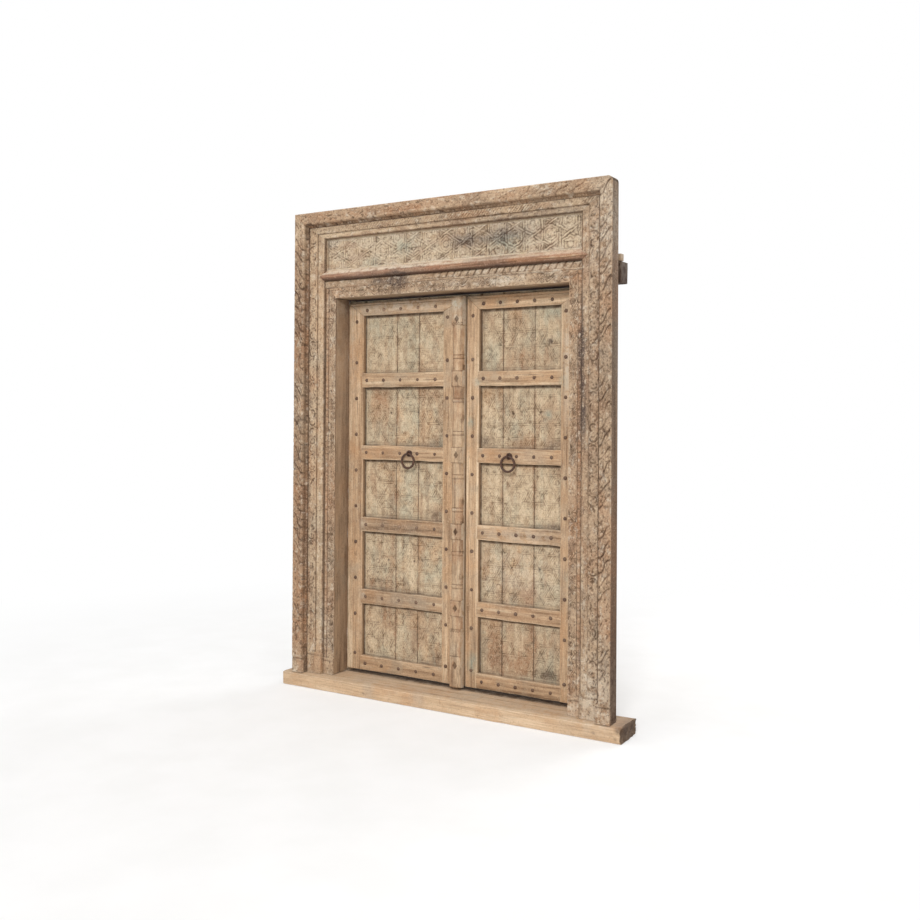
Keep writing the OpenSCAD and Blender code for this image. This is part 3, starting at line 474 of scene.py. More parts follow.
def leaf_scroll(along, across, width, pitch):
    """Leaves that lean across a band in an S, each with a midrib, veins and a deep root, between grooves."""
    v = across / width - 0.5
    lean = along / pitch + 0.95 * v + 0.14 * np.sin(2 * math.pi * v)
    side = np.abs(cell(lean))
    groove = bump(side, 0.5, 0.09)
    rib = 0.45 * bump(side, 0, 0.05)
    veins = 0.45 * smooth(np.cos(2 * math.pi * (v * 5.0 + 1.1 * side)), 0.35, 1.0) * smooth(side, 0.06, 0.2)
    root = bump(np.hypot(cell(lean + 0.12) * 1.6, (v - 0.22) * 1.3), 0, 0.13)
    return 1 - np.max([groove, rib, veins, root], axis=0)


def braid(along, across, width, pitch):
    """Chain of open scrolls, each cut as a C turned its own way, with notches between them."""
    u, v = 2.1 * cell(along / pitch), 2 * across / width - 1
    oval = np.hypot(u, v)
    turn = np.cos(np.arctan2(v, u) + 2.4 * np.floor(along / pitch))
    cuts = smooth(turn, -0.5, 0.4) * bump(oval, 0.74, 0.20) + 0.6 * bump(np.hypot(u - 0.15, v), 0.1, 0.16)
    return 1 - np.clip(cuts + 0.9 * smooth(oval, 1.10, 1.28), 0, 1)


def vine(along, across, width, pitch):
    """A stem that winds along a strip, with a curled leaf in every bend."""
    v = 2 * across / width - 1
    bend = 0.45 * np.sin(2 * math.pi * along / pitch)
    stem = bump(np.abs(v - bend), 0.24, 0.10)
    half = 2 * along / pitch
    curl = np.hypot(1.5 * cell(half), v + 0.48 * np.where(np.floor(half) % 2, -1, 1))
    return 1 - np.clip(stem + bump(curl, 0.40, 0.10) + bump(curl, 0, 0.16), 0, 1)


def strokes(along, across, pitch):
    """Leaning strokes of a rope."""
    edge = 2 * np.abs(cell((along - 0.6 * across) / pitch))
    return 1 - smooth(edge, 0.60, 0.88)


def beads(along, pitch):
    edge = 2 * np.abs(cell(along / pitch))
    return np.sqrt(np.clip(1 - edge**4, 0, 1))


def stars(u, v, pitch, strap, line):
    """Straps in three directions that weave round six-pointed stars, each strap between two cut lines."""
    rows = []
    for angle in (0, 60, 120):
        a = math.radians(angle)
        rows.append((u * math.cos(a) + v * math.sin(a)) / pitch)
    nearest = [np.round(t) for t in rows]
    centred = nearest[1] == nearest[0] + nearest[2]
    flat = pitch * np.max([np.abs(t - n) for t, n in zip(rows, nearest)], axis=0)
    gaps = [np.abs(cell(t)) * pitch for t in rows]
    covers = [smooth(strap / 2 - gap, -line, line) for gap in gaps]
    lines = [bump(gap, strap / 2, line) * (1 - covers[(k + 1) % 3]) for k, gap in enumerate(gaps)]
    open_ground = smooth(np.min(gaps, axis=0) - strap / 2, 0.5, 2.5)
    hexagons = np.maximum(bump(flat, 0.30 * pitch, 0.7 * line), bump(flat, 0.15 * pitch, 0.8 * line))
    ground = open_ground * np.where(centred, 0.10 + 0.65 * hexagons, 0.5)
    return 1 - np.clip(np.maximum(np.max(lines, axis=0), ground), 0, 1)


def wear_of(u, v, low, size=160.0):
    """How much of the carving is left: patches rubbed down to low, the rest whole."""
    return low + (1 - low) * smooth(cloud(u / size, v / size, 4), 0.30, 0.62)


def rough(u, v, size=9.0):
    return cloud(u / size, v / size, 3)


def gouges(u, v):
    """Short cuts and chips at random, lengthwise in u."""
    return smooth(cloud(u / 15 + 3, v / 8, 2), 0.66, 0.80)


def weathered(along, across, place):
    """Marks of age on a carved band: red-brown wood, a little soot and flecks of limewash."""
    stain = 0.28 * smooth(cloud(along / 75 + place, across / 50, 4), 0.52, 0.70)
    warm = 0.50 * smooth(cloud(along / 110 + place + 9, across / 50, 4), 0.52, 0.68)
    pale = 0.60 * smooth(cloud(along / 20 + place + 5, across / 11, 3), 0.60, 0.74)
    return {"stain": stain, "warm": warm, "pale": pale}


# Frame: bands that step in towards the opening

SILL_LOW, SILL_HIGH = span("sill")
SILL_TOP = SILL_HIGH[2]
HEAD_LOW, HEAD_HIGH = span("door_head")
STEP = 3.0
COARSE = 18.0
PLINTHS = {"outer": 82, "second": 105, "inner": 79}
PLINTH_FILLET = 12
CORNER = 22.0
COVE = 13.0
COVE_SET = 20.0
OUTER_ROUND, INNER_ROUND = 4.0, 9.0
OUTER_LINES = np.array([0, 1, 2.5, 4, 6.5, 9])
# Marks on the sides of the outer band: painted shade as hollow, and a little stain.
OUTER_WALLS_SHADE_AND_STAIN = {"hollow": 0.5, "stain": 0.2}
JAMB_BEAD, HEAD_BEAD = 48.0, 33.0
LEAF_PITCH, LEAF_DEPTH = 66.0, 5.0
SCROLL, SCROLL_DEPTH = 44.0, 4.0
VINE_PITCH, VINE_DEPTH = 64.0, 3.4
ROPE_PITCH, ROPE_DEPTH = 38.0, 3.4
PEARL_PITCH, BEAD_PITCH, STROKE_PITCH = 19.0, 31.0, 15.0
# Pitch, strap width and line width of the strapwork
TRANSOM_STARS, TRANSOM_DEPTH = (92.0, 12.0, 3.0), 3.6


def slab_piece(node, timber, grid, back, walls=None, name=None, body="frame", slot="carved_wood", **marks):
    """A piece made of one slab, which stands for one node."""
    shape = Shape()
    add_slab(shape, *grid, back, walls, **marks)
    shape.piece(name or f"{node}_carved", WOODS[timber], body, slot, node)


def timber_piece(node, timber, slot, body="frame", box=None, **form):
    """A piece made of one squared timber, which stands for one node."""
    shape = Shape()
    add_timber(shape, *(box or span(node)), **form)
    shape.piece(f"{node}_worn", WOODS[timber], body, slot, node)


def upright_grid(side, low, high, across, plinth_top, foot_step, top):
    """Grid of an upright band, whose rows follow the mitre line top(x), and how far in each point lies."""
    outer = -low[0]
    z = joined(spaced(low[2], plinth_top - 0.2, foot_step), spaced(plinth_top, high[2], STEP))
    gx, gz = np.meshgrid(np.sort((outer - across) * SIGN[side]), z)
    share = (gz - z[0]) / (z[-1] - z[0])
    return gx, z[0] + share * (top(np.abs(gx)) - z[0]), outer - np.abs(gx)


def head_grid(x, z, half):
    """Grid for a head piece: columns follow the mitre line half(z) at both ends."""
    gx, gz = np.meshgrid(x, z)
    return gx / x[-1] * half(gz), gz


def with_plinth(gz, gc, width, top, base, depth, hollow, dark, uneven):
    """The depth and hollows given, but a plain block with soft edges and a fillet below the plinth's top."""
    side = np.minimum(gc, width - gc)
    soft = 7.0 * (1 - np.sqrt(np.clip(1 - (1 - np.clip(side / 7.0, 0, 1)) ** 2, 0, 1)))
    fillet = bump(gz, top - PLINTH_FILLET, 3.0)
    plain = base + soft + 3.0 * fillet + uneven * rough(gz, gc)
    return np.where(gz < top, plain, depth), np.where(gz < top, dark * fillet, hollow)


def round_corner(gx, gz, outer, top):
    """Heights of the outer band, with its upper right corner worn round."""
    aside, up = np.clip(CORNER - (outer - gx), 0, None), np.clip(CORNER - (top - gz), 0, None)
    arc = top - CORNER + np.sqrt(np.clip(CORNER**2 - aside**2, 0, None))
    return np.where(np.hypot(aside, up) > CORNER, arc, gz)


def outer_depth(c, width):
    """Section of the outer band: a flat face with round edges, then a cove."""
    face = width - COVE
    radius = np.where(c < face / 2, OUTER_ROUND, INNER_ROUND)
    side = np.clip(np.where(c < face / 2, OUTER_ROUND - c, c - (face - INNER_ROUND)), 0, radius)
    edge = radius - np.sqrt(radius**2 - side**2)
    hollow = COVE_SET + np.sqrt(np.clip(COVE**2 - np.clip(width - c, 0, COVE) ** 2, 0, None))
    return np.where(c < face, edge, hollow)


def outer_carving(along, c, width, crisp=1.0):
    """Depth, hollows and wear of the outer band at a point along it and across it."""
    face = width - COVE
    left = wear_of(along, c, 0.10, 100.0)
    sway, drift = 26 * noise(along / 80, 3.1), 12 * noise(along / 34, c / 34)
    height = leaf_scroll(along + sway, c + drift - 6, face, LEAF_PITCH)
    carved = smooth(c, 2, 6) * smooth(face + 2 - c, 0, 4)
    ground = (1 - height) * carved * left * crisp
    chips = gouges(along, c)
    pearl = smooth(6.0 - np.hypot(cell(along / PEARL_PITCH) * PEARL_PITCH, c - face - 7), 0, 4.0) * left
    cove = (c > face) * (1 - pearl) * (0.4 + smooth(cloud(along / 25, c / 15), 0.4, 0.7))
    depth = outer_depth(c, width) - 3.0 * pearl * (c > face) + LEAF_DEPTH * ground
    depth = depth + 2.0 * chips + 1.4 * rough(along, c)
    joint = smooth(c, width - 4.5, width - 1.5)
    return depth, 0.95 * ground + 0.7 * chips + 0.4 * cove + joint, 0.5 * (1 - ground) * (c < face)


def across_outer(width):
    face = width - COVE
    return joined(OUTER_LINES, spaced(9, face - 9, 2.6), face - OUTER_LINES[::-1], face + 0.1,
                  spaced(face + 0.4, width, 3.0))


def outer_jamb(side):
    low, high = span("outer_jamb_left")
    width, outer, inner = high[0] - low[0], -low[0], -high[0]
    inner_top = high[2] - width
    plinth_top = SILL_TOP + PLINTHS["outer"]
    place = 31 * (side == "right")
    gx, gz, gc = upright_grid(side, low, high, across_outer(width), plinth_top, 5.0, lambda x: inner_top
                              + (x - inner) / (outer - inner) * (high[2] - inner_top))
    depth, hollow, worn = outer_carving(gz + place, gc, width)
    depth, hollow = with_plinth(gz, gc, width, plinth_top, 0.0, depth, hollow, 0.8, 1.2)
    if side == "right":
        hollow = hollow + 0.10
        gz = round_corner(gx, gz, outer, high[2])
    slab_piece(f"outer_jamb_{side}", ("carved", "z"), (gx, depth, gz), high[1], OUTER_WALLS_SHADE_AND_STAIN, hollow=hollow,
               wear=worn, **weathered(gz, gc, place))


def outer_head():
    low, high = span("outer_head")
    outer = -span("outer_jamb_left")[0][0]
    width = high[2] - low[2]
    gx, gz = head_grid(spaced(-outer, outer, STEP), high[2] - across_outer(width)[::-1],
                       lambda z: outer - (high[2] - z))
    right = smooth(gx, 0, 450)
    depth, hollow, worn = outer_carving(gx + 200, high[2] - gz, width, 0.3 + 0.7 * right)
    gz = round_corner(gx, gz, outer, high[2])
    slab_piece("outer_head", ("carved", "x"), (gx, depth, gz), high[1], OUTER_WALLS_SHADE_AND_STAIN,
               hollow=hollow * (1 - 0.6 * right), wear=worn, **weathered(gx, gz, 60))


def second_carving(along, c, width, bead, front, height):
    """The carving given on the raised bead, and a plain bevelled fillet beside it."""
    left = wear_of(along + 900, c, 0.25, 110.0) * wear_of(along, c + 70, 0.4, 22.0)
    carved = smooth(c, 1.5, 4) * smooth(bead - c, 1.5, 4)
    ground = (1 - height) * carved * left
    edge = 4.0 * (1 - smooth(np.minimum(c, bead - c), -0.5, 4.0))
    chips = gouges(along + 300, c)
    on_bead = front + edge + SCROLL_DEPTH * ground + 2.0 * chips
    fillet = front + 10 + np.clip(c - (width - 8), 0, 8) + 1.0 * chips
    depth = np.where(c < bead, on_bead, fillet) + 1.0 * rough(along, c)
    quirk = 0.95 * bump(c, bead + 1, 3.5) * (0.4 + 0.6 * left)
    quirk = quirk + 0.9 * smooth(c, width - 6, width - 2) + 0.4 * chips
    hollow = np.where(c < bead, ground + 0.7 * chips + 0.9 * smooth(3 - c, 0, 2), quirk)
    return depth, 0.95 * hollow, 0.5 * (1 - np.clip(hollow, 0, 1))


def across_second(width, bead):
    return joined(spaced(0, bead - 0.2, 2.6), spaced(bead, width, 3.4))


def second_jamb(side):
    right = side == "right"
    low, high = span("second_jamb_left")
    head_low, head_high = span("second_head")
    width, outer, drop = high[0] - low[0], -low[0], head_high[2] - head_low[2]
    plinth_top = SILL_TOP + PLINTHS["second"]
    gx, gz, gc = upright_grid(side, low, high, across_second(width, JAMB_BEAD), plinth_top, 6.0,
                              lambda x: high[2] - (outer - x) / width * drop)
    along = gz + 57 * right
    sway, drift = 16 * noise(along / 70, 7.0), 5 * noise(along / 30, gc / 30)
    height = braid(along + sway, gc + drift - 4, SCROLL, SCROLL)
    depth, hollow, worn = second_carving(along, gc, width, JAMB_BEAD, low[1], height)
    depth, hollow = with_plinth(gz, gc, width, plinth_top, low[1], depth, hollow, 0.8, 1.0)
    slab_piece(f"second_jamb_{side}", ("carved" if right else "pale", "z"), (gx, depth, gz), high[1],
               hollow=hollow + 0.07 * right, wear=worn, **weathered(gz, gc, 77 + 20 * right))


def second_head():
    low, high = span("second_head")
    jamb_low, jamb_high = span("second_jamb_left")
    width, outer = high[2] - low[2], high[0]
    inner = outer - (jamb_high[0] - jamb_low[0])
    gx, gz = head_grid(spaced(-outer, outer, STEP), high[2] - across_second(width, HEAD_BEAD)[::-1],
                       lambda z: inner + (z - low[2]) / width * (outer - inner))
    gc = high[2] - gz
    height = strokes(gx + 6 * noise(gx / 30, gz / 30), 1.4 * gz, STROKE_PITCH)
    depth, hollow, worn = second_carving(gx + 300, gc, width, HEAD_BEAD, low[1], height)
    marks = weathered(gx, gz, 120)
    marks["stain"] += 0.35 * (gz < high[2] - HEAD_BEAD) * smooth(gx, -300, 300)
    slab_piece("second_head", ("pale", "x"), (gx, depth, gz), high[1],
               hollow=np.where(gc < 30, 0.5, 1) * hollow, wear=worn, **marks)


def strip_carving(along, c, width, front):
    """Depth, hollows and wear of a strip with a vine."""
    left = wear_of(along + 400, c, 0.1, 90.0) * wear_of(along, c + 200, 0.3, 20.0)
    sway, drift = 30 * noise(along / 50, 2.0), 10 * noise(along / 25, c / 25)
    height = vine(along + sway, c + drift - 5, width, VINE_PITCH)
    chips = gouges(along + 700, c)
    ground = (1 - height) * smooth(c, 1, 3.5) * smooth(width - c, 1, 3.5) * left
    depth = front + VINE_DEPTH * ground + 1.4 * chips + 0.9 * rough(along, c)
    return depth, 0.9 * ground + 0.7 * chips, 0.5 * (1 - ground)


def inner_band(side):
    """A beaded roll, and a carved strip beside it."""
    right = side == "right"
    low, high = span("inner_band_left")
    strip_low, strip_high = span("inner_band_head")
    opening = HEAD_LOW[2]
    outer, inner, strip_out = -low[0], -high[0], strip_high[0]
    roll_width = outer - strip_out
    roll = (roll_width + 2) / 2
    plinth_top = SILL_TOP + PLINTHS["inner"]
    across = joined(spaced(0, roll_width, 1.6), spaced(roll_width, outer - inner, 2.6))
    gx, gz, gc = upright_grid(side, low, high, across, plinth_top, 6.0, lambda x: opening
                              + np.clip((x - inner) / (strip_out - inner), 0, 1) * (high[2] - opening))
    along = gz + 23 * right
    depth, hollow, worn = strip_carving(along, gc - roll_width, strip_out - inner, strip_low[1])
    bead = beads(along + 4 * noise(along / 70, 1.0), BEAD_PITCH)
    arc = high[1] - roll + (roll - np.sqrt(np.clip(roll**2 - (gc - roll) ** 2, 0, None)))
    arc += 3.2 * (1 - bead) * wear_of(along, gc, 0.3) + 0.7 * rough(along, gc)
    on_roll = gc < roll_width
    depth = np.where(on_roll, np.minimum(arc, high[1] - 0.5), depth)
    hollow = np.where(on_roll, 0.8 * (1 - bead) + 0.9 * bump(gc, roll_width, 2.5), hollow)
    depth, hollow = with_plinth(gz, gc, outer - inner, plinth_top, low[1], depth, hollow, 0.7, 0.0)
    marks = weathered(gz, gc, 150 + 20 * right)
    marks["warm"] += 0.4 * on_roll
    slab_piece(f"inner_band_{side}", ("carved", "z"), (gx, np.minimum(depth, high[1] - 0.4), gz), high[1],
               hollow=hollow, wear=worn, **marks)


def inner_band_head():
    low, high = span("inner_band_head")
    outer, inner = high[0], span("door_post_right")[0][0]
    width = high[2] - low[2]
    gx, gz = head_grid(spaced(-outer, outer, STEP), spaced(low[2], high[2], 2.6),
                       lambda z: inner + (z - low[2]) / width * (outer - inner))
    depth, hollow, worn = strip_carving(gx + 700, gz - low[2], width, low[1])
    slab_piece("inner_band_head", ("carved", "x"), (gx, depth, gz), high[1], name="inner_head_carved",
               hollow=hollow, wear=worn, **weathered(gx, gz, 190))


def rope_moulding():
    """Strokes that lean along the right half, worn away on the left, above a plain strip."""
    low, high = span("rope_moulding")
    gx, gz = np.meshgrid(spaced(low[0], high[0], 2.8), spaced(low[2], high[2], 2.4))
    v = gz - low[2]
    width = high[2] - low[2]
    kept = (0.12 + 0.88 * smooth(gx, -130, 20)) * wear_of(gx + 100, gz, 0.6) * smooth(v, 10, 14)
    ground = (1 - strokes(gx, v, ROPE_PITCH)) * kept + 0.5 * bump(v, 12, 1.8) * smooth(gx, -400, 0)
    edge = 6.0 * (1 - smooth(np.minimum(v, width - v), 0, 7.0))
    depth = np.minimum(low[1] + edge + ROPE_DEPTH * ground + 0.9 * rough(gx, gz), high[1] - 0.4)
    marks = weathered(gx, gz, 230)
    marks["pale"] = marks["pale"] + 0.45 * smooth(gx, 0, 400) * (1 - ground)
    marks["stain"] = marks["stain"] + 0.6 * (1 - smooth(v, 0, 4)) + 0.3 * smooth(v, width - 6, width)
    slab_piece("rope_moulding", ("carved", "x"), (gx, depth, gz), high[1], name="rope_carved",
               hollow=0.8 * ground, wear=0.5 * (1 - ground), **marks)


def ledge():
    """Half-round ledge with a sloping top, its ends worn down to the bands."""
    low, high = span("ledge")
    nose, slope_height, end = 20.0, 8, 60
    x = joined(spaced(low[0], high[0], 6.0), spaced(low[0], low[0] + end, 3.0),
               spaced(high[0] - end, high[0], 3.0))
    gx, gz = np.meshgrid(x, joined(spaced(low[2], high[2] - 12, 2.2), spaced(high[2] - 12, high[2], 2.0)))
    middle, front = low[2] + nose, low[1] + nose
    arc = front - np.sqrt(np.clip(nose**2 - (gz - middle) ** 2, 0, None))
    rise = np.clip(gz - (high[2] - slope_height), 0, slope_height) / slope_height
    depth = np.where(gz < middle + nose, arc, front + rise * (high[1] - front - 0.5))
    depth = depth + 2.4 * smooth(cloud(gx / 70, gz / 9, 3), 0.4, 0.8) + 0.8 * rough(gx, gz)
    whole = smooth(high[0] - np.abs(gx) - 1.1 * np.abs(gz - middle), -8, 30)
    depth = np.minimum(high[1] - (high[1] - depth) * (0.45 + 0.55 * whole), high[1] - 0.3)
    up = gz - low[2]
    crack = smooth(gx, -60, 200) * bump(up, 11 + 5 * noise(gx / 90, 1.0), 2.0)
    crack = crack * smooth(cloud(gx / 60, 3.0), 0.3, 0.5)
    stain = 0.45 * smooth(cloud(gx / 160, gz / 40), 0.5, 0.72) * smooth(gx, -600, 100)
    # The lowest millimetres get painted shade as stain and hollow, and the sloping top gets painted light as
    # pale and wear.
    stain = stain + 0.6 * (1 - smooth(up, 2, 16))
    warm = (0.2 + 0.55 * smooth(gx, -300, 300)) * (1 - smooth(up, 24, 38))
    pale = (0.9 - 0.6 * smooth(gx, -100, 300)) * smooth(up, 23, 33)
    hollow = 0.9 * crack + 0.75 * (1 - smooth(up, 0, 9))
    slab_piece("ledge", ("ledge", "x"), (gx, depth + 1.5 * crack, gz), high[1], name="ledge_worn",
               hollow=hollow, stain=stain, warm=warm, wear=smooth(up, 24, 36), pale=pale)


def transom_board():
    """Board with strapwork between the bands, plain where they cover it."""
    low, high = span("transom_board")
    half = span("rope_moulding")[1][0]
    bottom, top = span("ledge")[1][2], span("second_head")[0][2]
    x = joined(spaced(low[0], -half, COARSE), spaced(-half, half, 2.8), spaced(half, high[0], COARSE))
    z = joined(spaced(low[2], bottom, COARSE), spaced(bottom, top, 2.7), spaced(top, high[2], COARSE))
    gx, gz = np.meshgrid(x, z)
    inside = np.minimum(half - np.abs(gx), np.minimum(gz - bottom, top - gz))
    field = smooth(inside, 7, 10)
    sway = [7 * noise(gx / 55 + k, gz / 55) + 5 * noise(gx / 13 + k, gz / 13) - 6 for k in (0, 40)]
    height = stars(gx + sway[0], gz + sway[1] - (bottom + top) / 2, *TRANSOM_STARS)
    crisp = 0.70 + 0.30 * smooth(gx, -650, 200)
    ground = (1 - height) * field * crisp * wear_of(gx + 50, gz, 0.35, 18.0) + 0.5 * bump(inside, 7, 1.8)
    ground = np.clip(ground + 0.6 * gouges(gx, gz) * field, 0, 1)
    depth = low[1] + TRANSOM_DEPTH * ground + 0.9 * rough(gx, gz) * smooth(inside, 0, 3)
    shade = 0.4 * smooth(gz, top - 6, top) + 0.4 * smooth(-gx, half - 24, half)
    pale = 0.8 * bump(gz, bottom + 5, 8) + 0.6 * bump(gz, top - 9, 4) + 0.35 * (1 - ground) * field
    warm = 0.5 * smooth(cloud(gx / 45, gz / 45), 0.50, 0.66)
    slab_piece("transom_board", ("transom", "x"), (gx, depth, gz), high[1], name="transom_carved",
               slot="panel_wood", hollow=ground + shade, wear=0.3 * (1 - ground), pale=pale, warm=warm)


def posts_and_lintel():
    for side in SIDES:
        low, high = span(f"door_post_{side}")

        def reveal_painted_shade(x, y, z):
            """Painted shade, darker towards the leaf and under the head, with damp patches."""
            damp = smooth(cloud(y / 30, z / 160), 0.5, 0.7)
            return 0.55 * smooth(y, 110, high[1]) + 0.35 * smooth(z, 1700, 1940) + 0.3 * damp

        box = (low[0], low[1], SILL_TOP), (high[0], high[1], HEAD_LOW[2])
        timber_piece(f"door_post_{side}", ("post", "z"), "post_wood", box=box, radius=3.0, dents=2.0,
                     shade=reveal_painted_shade)
        timber_piece(f"lintel_cleat_{side}", ("post", "x"), "carved_wood", radius=3.0, step=8)
    for node, kind, slot in (("door_head", "post", "post_wood"), ("rear_lintel", "dark", "dark_wood")):
        # Painted shade: the head's soffit darkens towards the back, and the rear lintel behind it gets the
        # same painted shade.
        timber_piece(node, (kind, "x"), slot, step=20, dents=2.0,
                     shade=lambda x, y, z: 0.7 * smooth(y, 90, 168))


PIN_ROOM = 16.0
SHOULDER = 65
LEAF_HALF = 650
LEAF_STRIP = (160, 168)


def sill():
    """Long worn sill: round front arris, rubbed left horn, broken right horn."""
    low, high = SILL_LOW, SILL_HIGH
    depth = HEAD_HIGH[1]
    shoulder = span("left_pivot_board")[0][0] + PIN_ROOM - SHOULDER
    arris, rubbed = 24, 16

    def worn(points):
        x, y, z = points.T
        front = np.clip(low[1] + arris - y, 0, None)
        top = np.clip(z - (high[2] - arris), 0, None)
        over = np.clip(np.hypot(front, top) - arris, 0, None)
        z = z - 0.8 * over * (top > 0)
        horn = np.clip(low[0] + rubbed - x, 0, None), np.clip(z - (high[2] - rubbed), 0, None)
        z = z - np.clip(np.hypot(*horn) - rubbed, 0, None) * (horn[0] > 0)
        chip = 0.7 * (x - high[0]) - 0.4 * (y - low[1]) + 0.6 * (z - high[2]) + 14
        z = z - np.clip(chip + 16 * cloud(x / 14, y / 14), 0, None) * 0.9
        broken = 15 * smooth(x, high[0] - 12, high[0] - 2) * cloud(y / 13, z / 11)
        x = x - broken * smooth(cloud(y / 40, z / 25), 0.2, 0.7)
        hollow = 3.0 * bump(np.abs(x), 0, 520) * smooth(z, high[2] - 12, high[2] - 4)
        return np.stack([x, y, z - hollow * cloud(x / 200, y / 60)], -1)

    def dark(x, y, z):
        """Painted shadow on the strip under the leaves, partly grime at their foot, and the broken right end
        darkened.
        """
        end = smooth(x + 16 * cloud(y / 9 + 5, z / 9), high[0], high[0] + 5)
        return smooth(y, *LEAF_STRIP) * (np.abs(x) < LEAF_HALF) + end * (0.8 + 0.3 * cloud(y / 15, z / 12))

    shape = Shape()
    cuts = {0: spaced(high[0] - 42, high[0], 5), 1: LEAF_STRIP, 2: spaced(low[2] + 10, high[2] - 10, 6)}
    add_timber(shape, low, (high[0], depth, high[2]), 6.0, 11, 2.0, cuts, bend=worn, shade=dark)
    add_timber(shape, (shoulder, depth - 4, 0), (-shoulder, high[1], high[2]), 4.0, 20, 1.5, shade=dark)
    shape.piece("sill_worn", WOODS["sill", "x"], "frame", "bleached_wood", "sill")


# Leaves

NAIL_HOLES = {
    "left": ((-402, 1383), (-239, 1386), (-580, 1385), (-414, 646), (-257, 651), (-602, 634)),
    "right": ((290, 1382), (436, 1389), (567, 1396), (287, 662), (433, 667), (567, 665), (489, 1712)),
}
FOOT_WORN = 5.0
RAILS = ("top_rail", "rail_1", "rail_2", "rail_3", "rail_4", "bottom_rail")
BOARD_STEP = 3.5
PANEL_STARS, PANEL_DEPTH = (66.0, 9.0, 2.6), 2.6
PANEL_RIM = 12
NAIL_HOLE = 5.0
PIN_RADIUS = 15.0
GROOVE = 3.0
OUTER_STRIP, MEETING_STRIP = 41, 17


def panel_edges(side):
    """Lower and upper edge of each panel of a leaf, from the top down."""
    boxes = [span(f"{side}_{rail}") for rail in RAILS]
    return [(below[1][2], above[0][2]) for above, below in zip(boxes, boxes[1:])]


def board(side, name):
    """One upright board of a leaf, carved where the rails leave it bare."""
    node = f"{side}_{name}"
    low, high = span(node)
    field_low, field_high = (v[0] for v in span(f"{side}_rail_1"))
    foot, top = (v[2] for v in span(f"{side}_meeting_board"))
    x0, x1 = low[0], high[0]
    if name == "pivot_board":
        x0, x1 = (x0 + PIN_ROOM, x1) if side == "left" else (x0, x1 - PIN_ROOM)
    seen0, seen1 = max(x0, field_low), min(x1, field_high)
    x = joined(spaced(x0, seen0, COARSE) if seen0 > x0 else [x0], spaced(seen0, seen1, BOARD_STEP),
               spaced(seen1, x1, COARSE) if x1 > seen1 else [x1])
    panels = panel_edges(side)
    rows = [spaced(panel_low - 2, panel_high + 2, BOARD_STEP) for panel_low, panel_high in panels]
    gx, gz = np.meshgrid(x, joined([foot, top], *rows))
    middle = (field_low + field_high) / 2
    ground, painted_shade, dust = (np.zeros(gx.shape) for _ in range(3))
    for panel_low, panel_high in panels:
        inside = np.min([gx - field_low, field_high - gx, gz - panel_low, panel_high - gz], axis=0)
        here = smooth(inside, PANEL_RIM, PANEL_RIM + 3)
        sway = 6 * noise(gx / 40, gz / 40)
        height = stars(gz - (panel_low + panel_high) / 2, gx + sway - middle, *PANEL_STARS)
        kept = wear_of(gx + gz, gz, 0.45, 70.0) * wear_of(gx, gz + 300, 0.35, 12.0)
        ground += here * (1 - height) * kept + 0.4 * bump(inside, PANEL_RIM, 2.0)
        ground += 0.6 * here * gouges(gz + 50, gx * 1.5) * kept
        # Painted shadow under each rail, and painted shade along the panel's edges and beside the left
        # stile.
        under_rail_shadow = (gz < panel_high + 3) * (1 - smooth(panel_high - gz, 7, 15))
        painted_shade += 0.6 * bump(inside, 0, 6) * cloud(gx / 25, gz / 25) + under_rail_shadow
        painted_shade += 0.4 * bump(gx - field_low, 0, 5)
        dust += 0.8 * bump(gz - panel_low, 0, 14) * cloud(gx / 60, gz / 20)
    ground = np.clip(ground, 0, 1)
    to_seam = np.minimum(gx - x0, x1 - gx)
    seam = bump(to_seam, 0, 2.5) * (0.35 + 0.65 * smooth(cloud(gx / 8 + 4, gz / 60), 0.35, 0.6))
    rust = bump(to_seam, 0, 9) * smooth(cloud(gx / 90 + 7, gz / 50), 0.35, 0.6)
    holes = sum(bump(np.hypot(gx - hx, gz - hz), 0, NAIL_HOLE) for hx, hz in NAIL_HOLES[side])
    depth = low[1] + PANEL_DEPTH * ground + 0.9 * rough(gx, gz, 12.0) + 1.5 * seam + 4.0 * holes
    warm = 0.5 * smooth(cloud(gx / 36 + 3, gz / 170, 4), 0.50, 0.68) + 0.6 * rust
    green = 0.24 * smooth(cloud(gx / 50 + 40, gz / 130, 4), 0.54, 0.68)
    hollow = 0.85 * ground + 0.7 * seam + painted_shade + 0.8 * holes
    shape = Shape()
    add_slab(shape, gx, depth, gz, high[1], hollow=hollow, stain=holes + dust, wear=0.6 * (1 - ground),
             green=green, warm=warm)
    if name == "pivot_board":
        edge = x0 if side == "left" else x1
        add_timber(shape, (edge - PIN_ROOM, low[1], foot), (edge + PIN_ROOM, high[1], top), 3.0, 40, 0.5)
        add_round(shape, edge, (low[1] + high[1]) / 2, PIN_RADIUS, low[2], high[2])
    shape.piece(f"{node}_carved", WOODS["panel", "z"], f"{side}_leaf", "panel_wood", node)


def groove(at):
    """Sample lines for a groove, and what it takes off the front at a coordinate."""
    lines = np.array([at - GROOVE, at - GROOVE / 2, at, at + GROOVE / 2, at + GROOVE])
    return lines, lambda value: GROOVE * (np.abs(value - at) < 0.6 * GROOVE)


def stile(side, name, strip):
    """A stile, mitred at its top, with a groove at strip from its outer edge, or none."""
    node = f"{side}_{name}"
    low, high = span(node)
    low[2] += FOOT_WORN
    rail_low, rail_high = span(f"{side}_top_rail")
    drop = rail_high[2] - rail_low[2]
    outer_left = (side == "left") == (name == "outer_stile")
    edge = low[0] if outer_left else high[0]
    width = high[0] - low[0]
    lines, cut = groove(edge + (strip if outer_left else -strip))

    def mitre(points):
        share = (points[:, 2] - low[2]) / (high[2] - low[2])
        points[:, 2] -= share * drop * np.abs(points[:, 0] - edge) / width
        return points

    form = {"cuts": {0: lines}, "front": lambda x, z: cut(x)} if strip else {}
    timber_piece(node, ("bleached", "z"), "bleached_wood", f"{side}_leaf", (low, high), radius=2.5, step=13,
                 bend=mitre, dirt=0.5, **form)


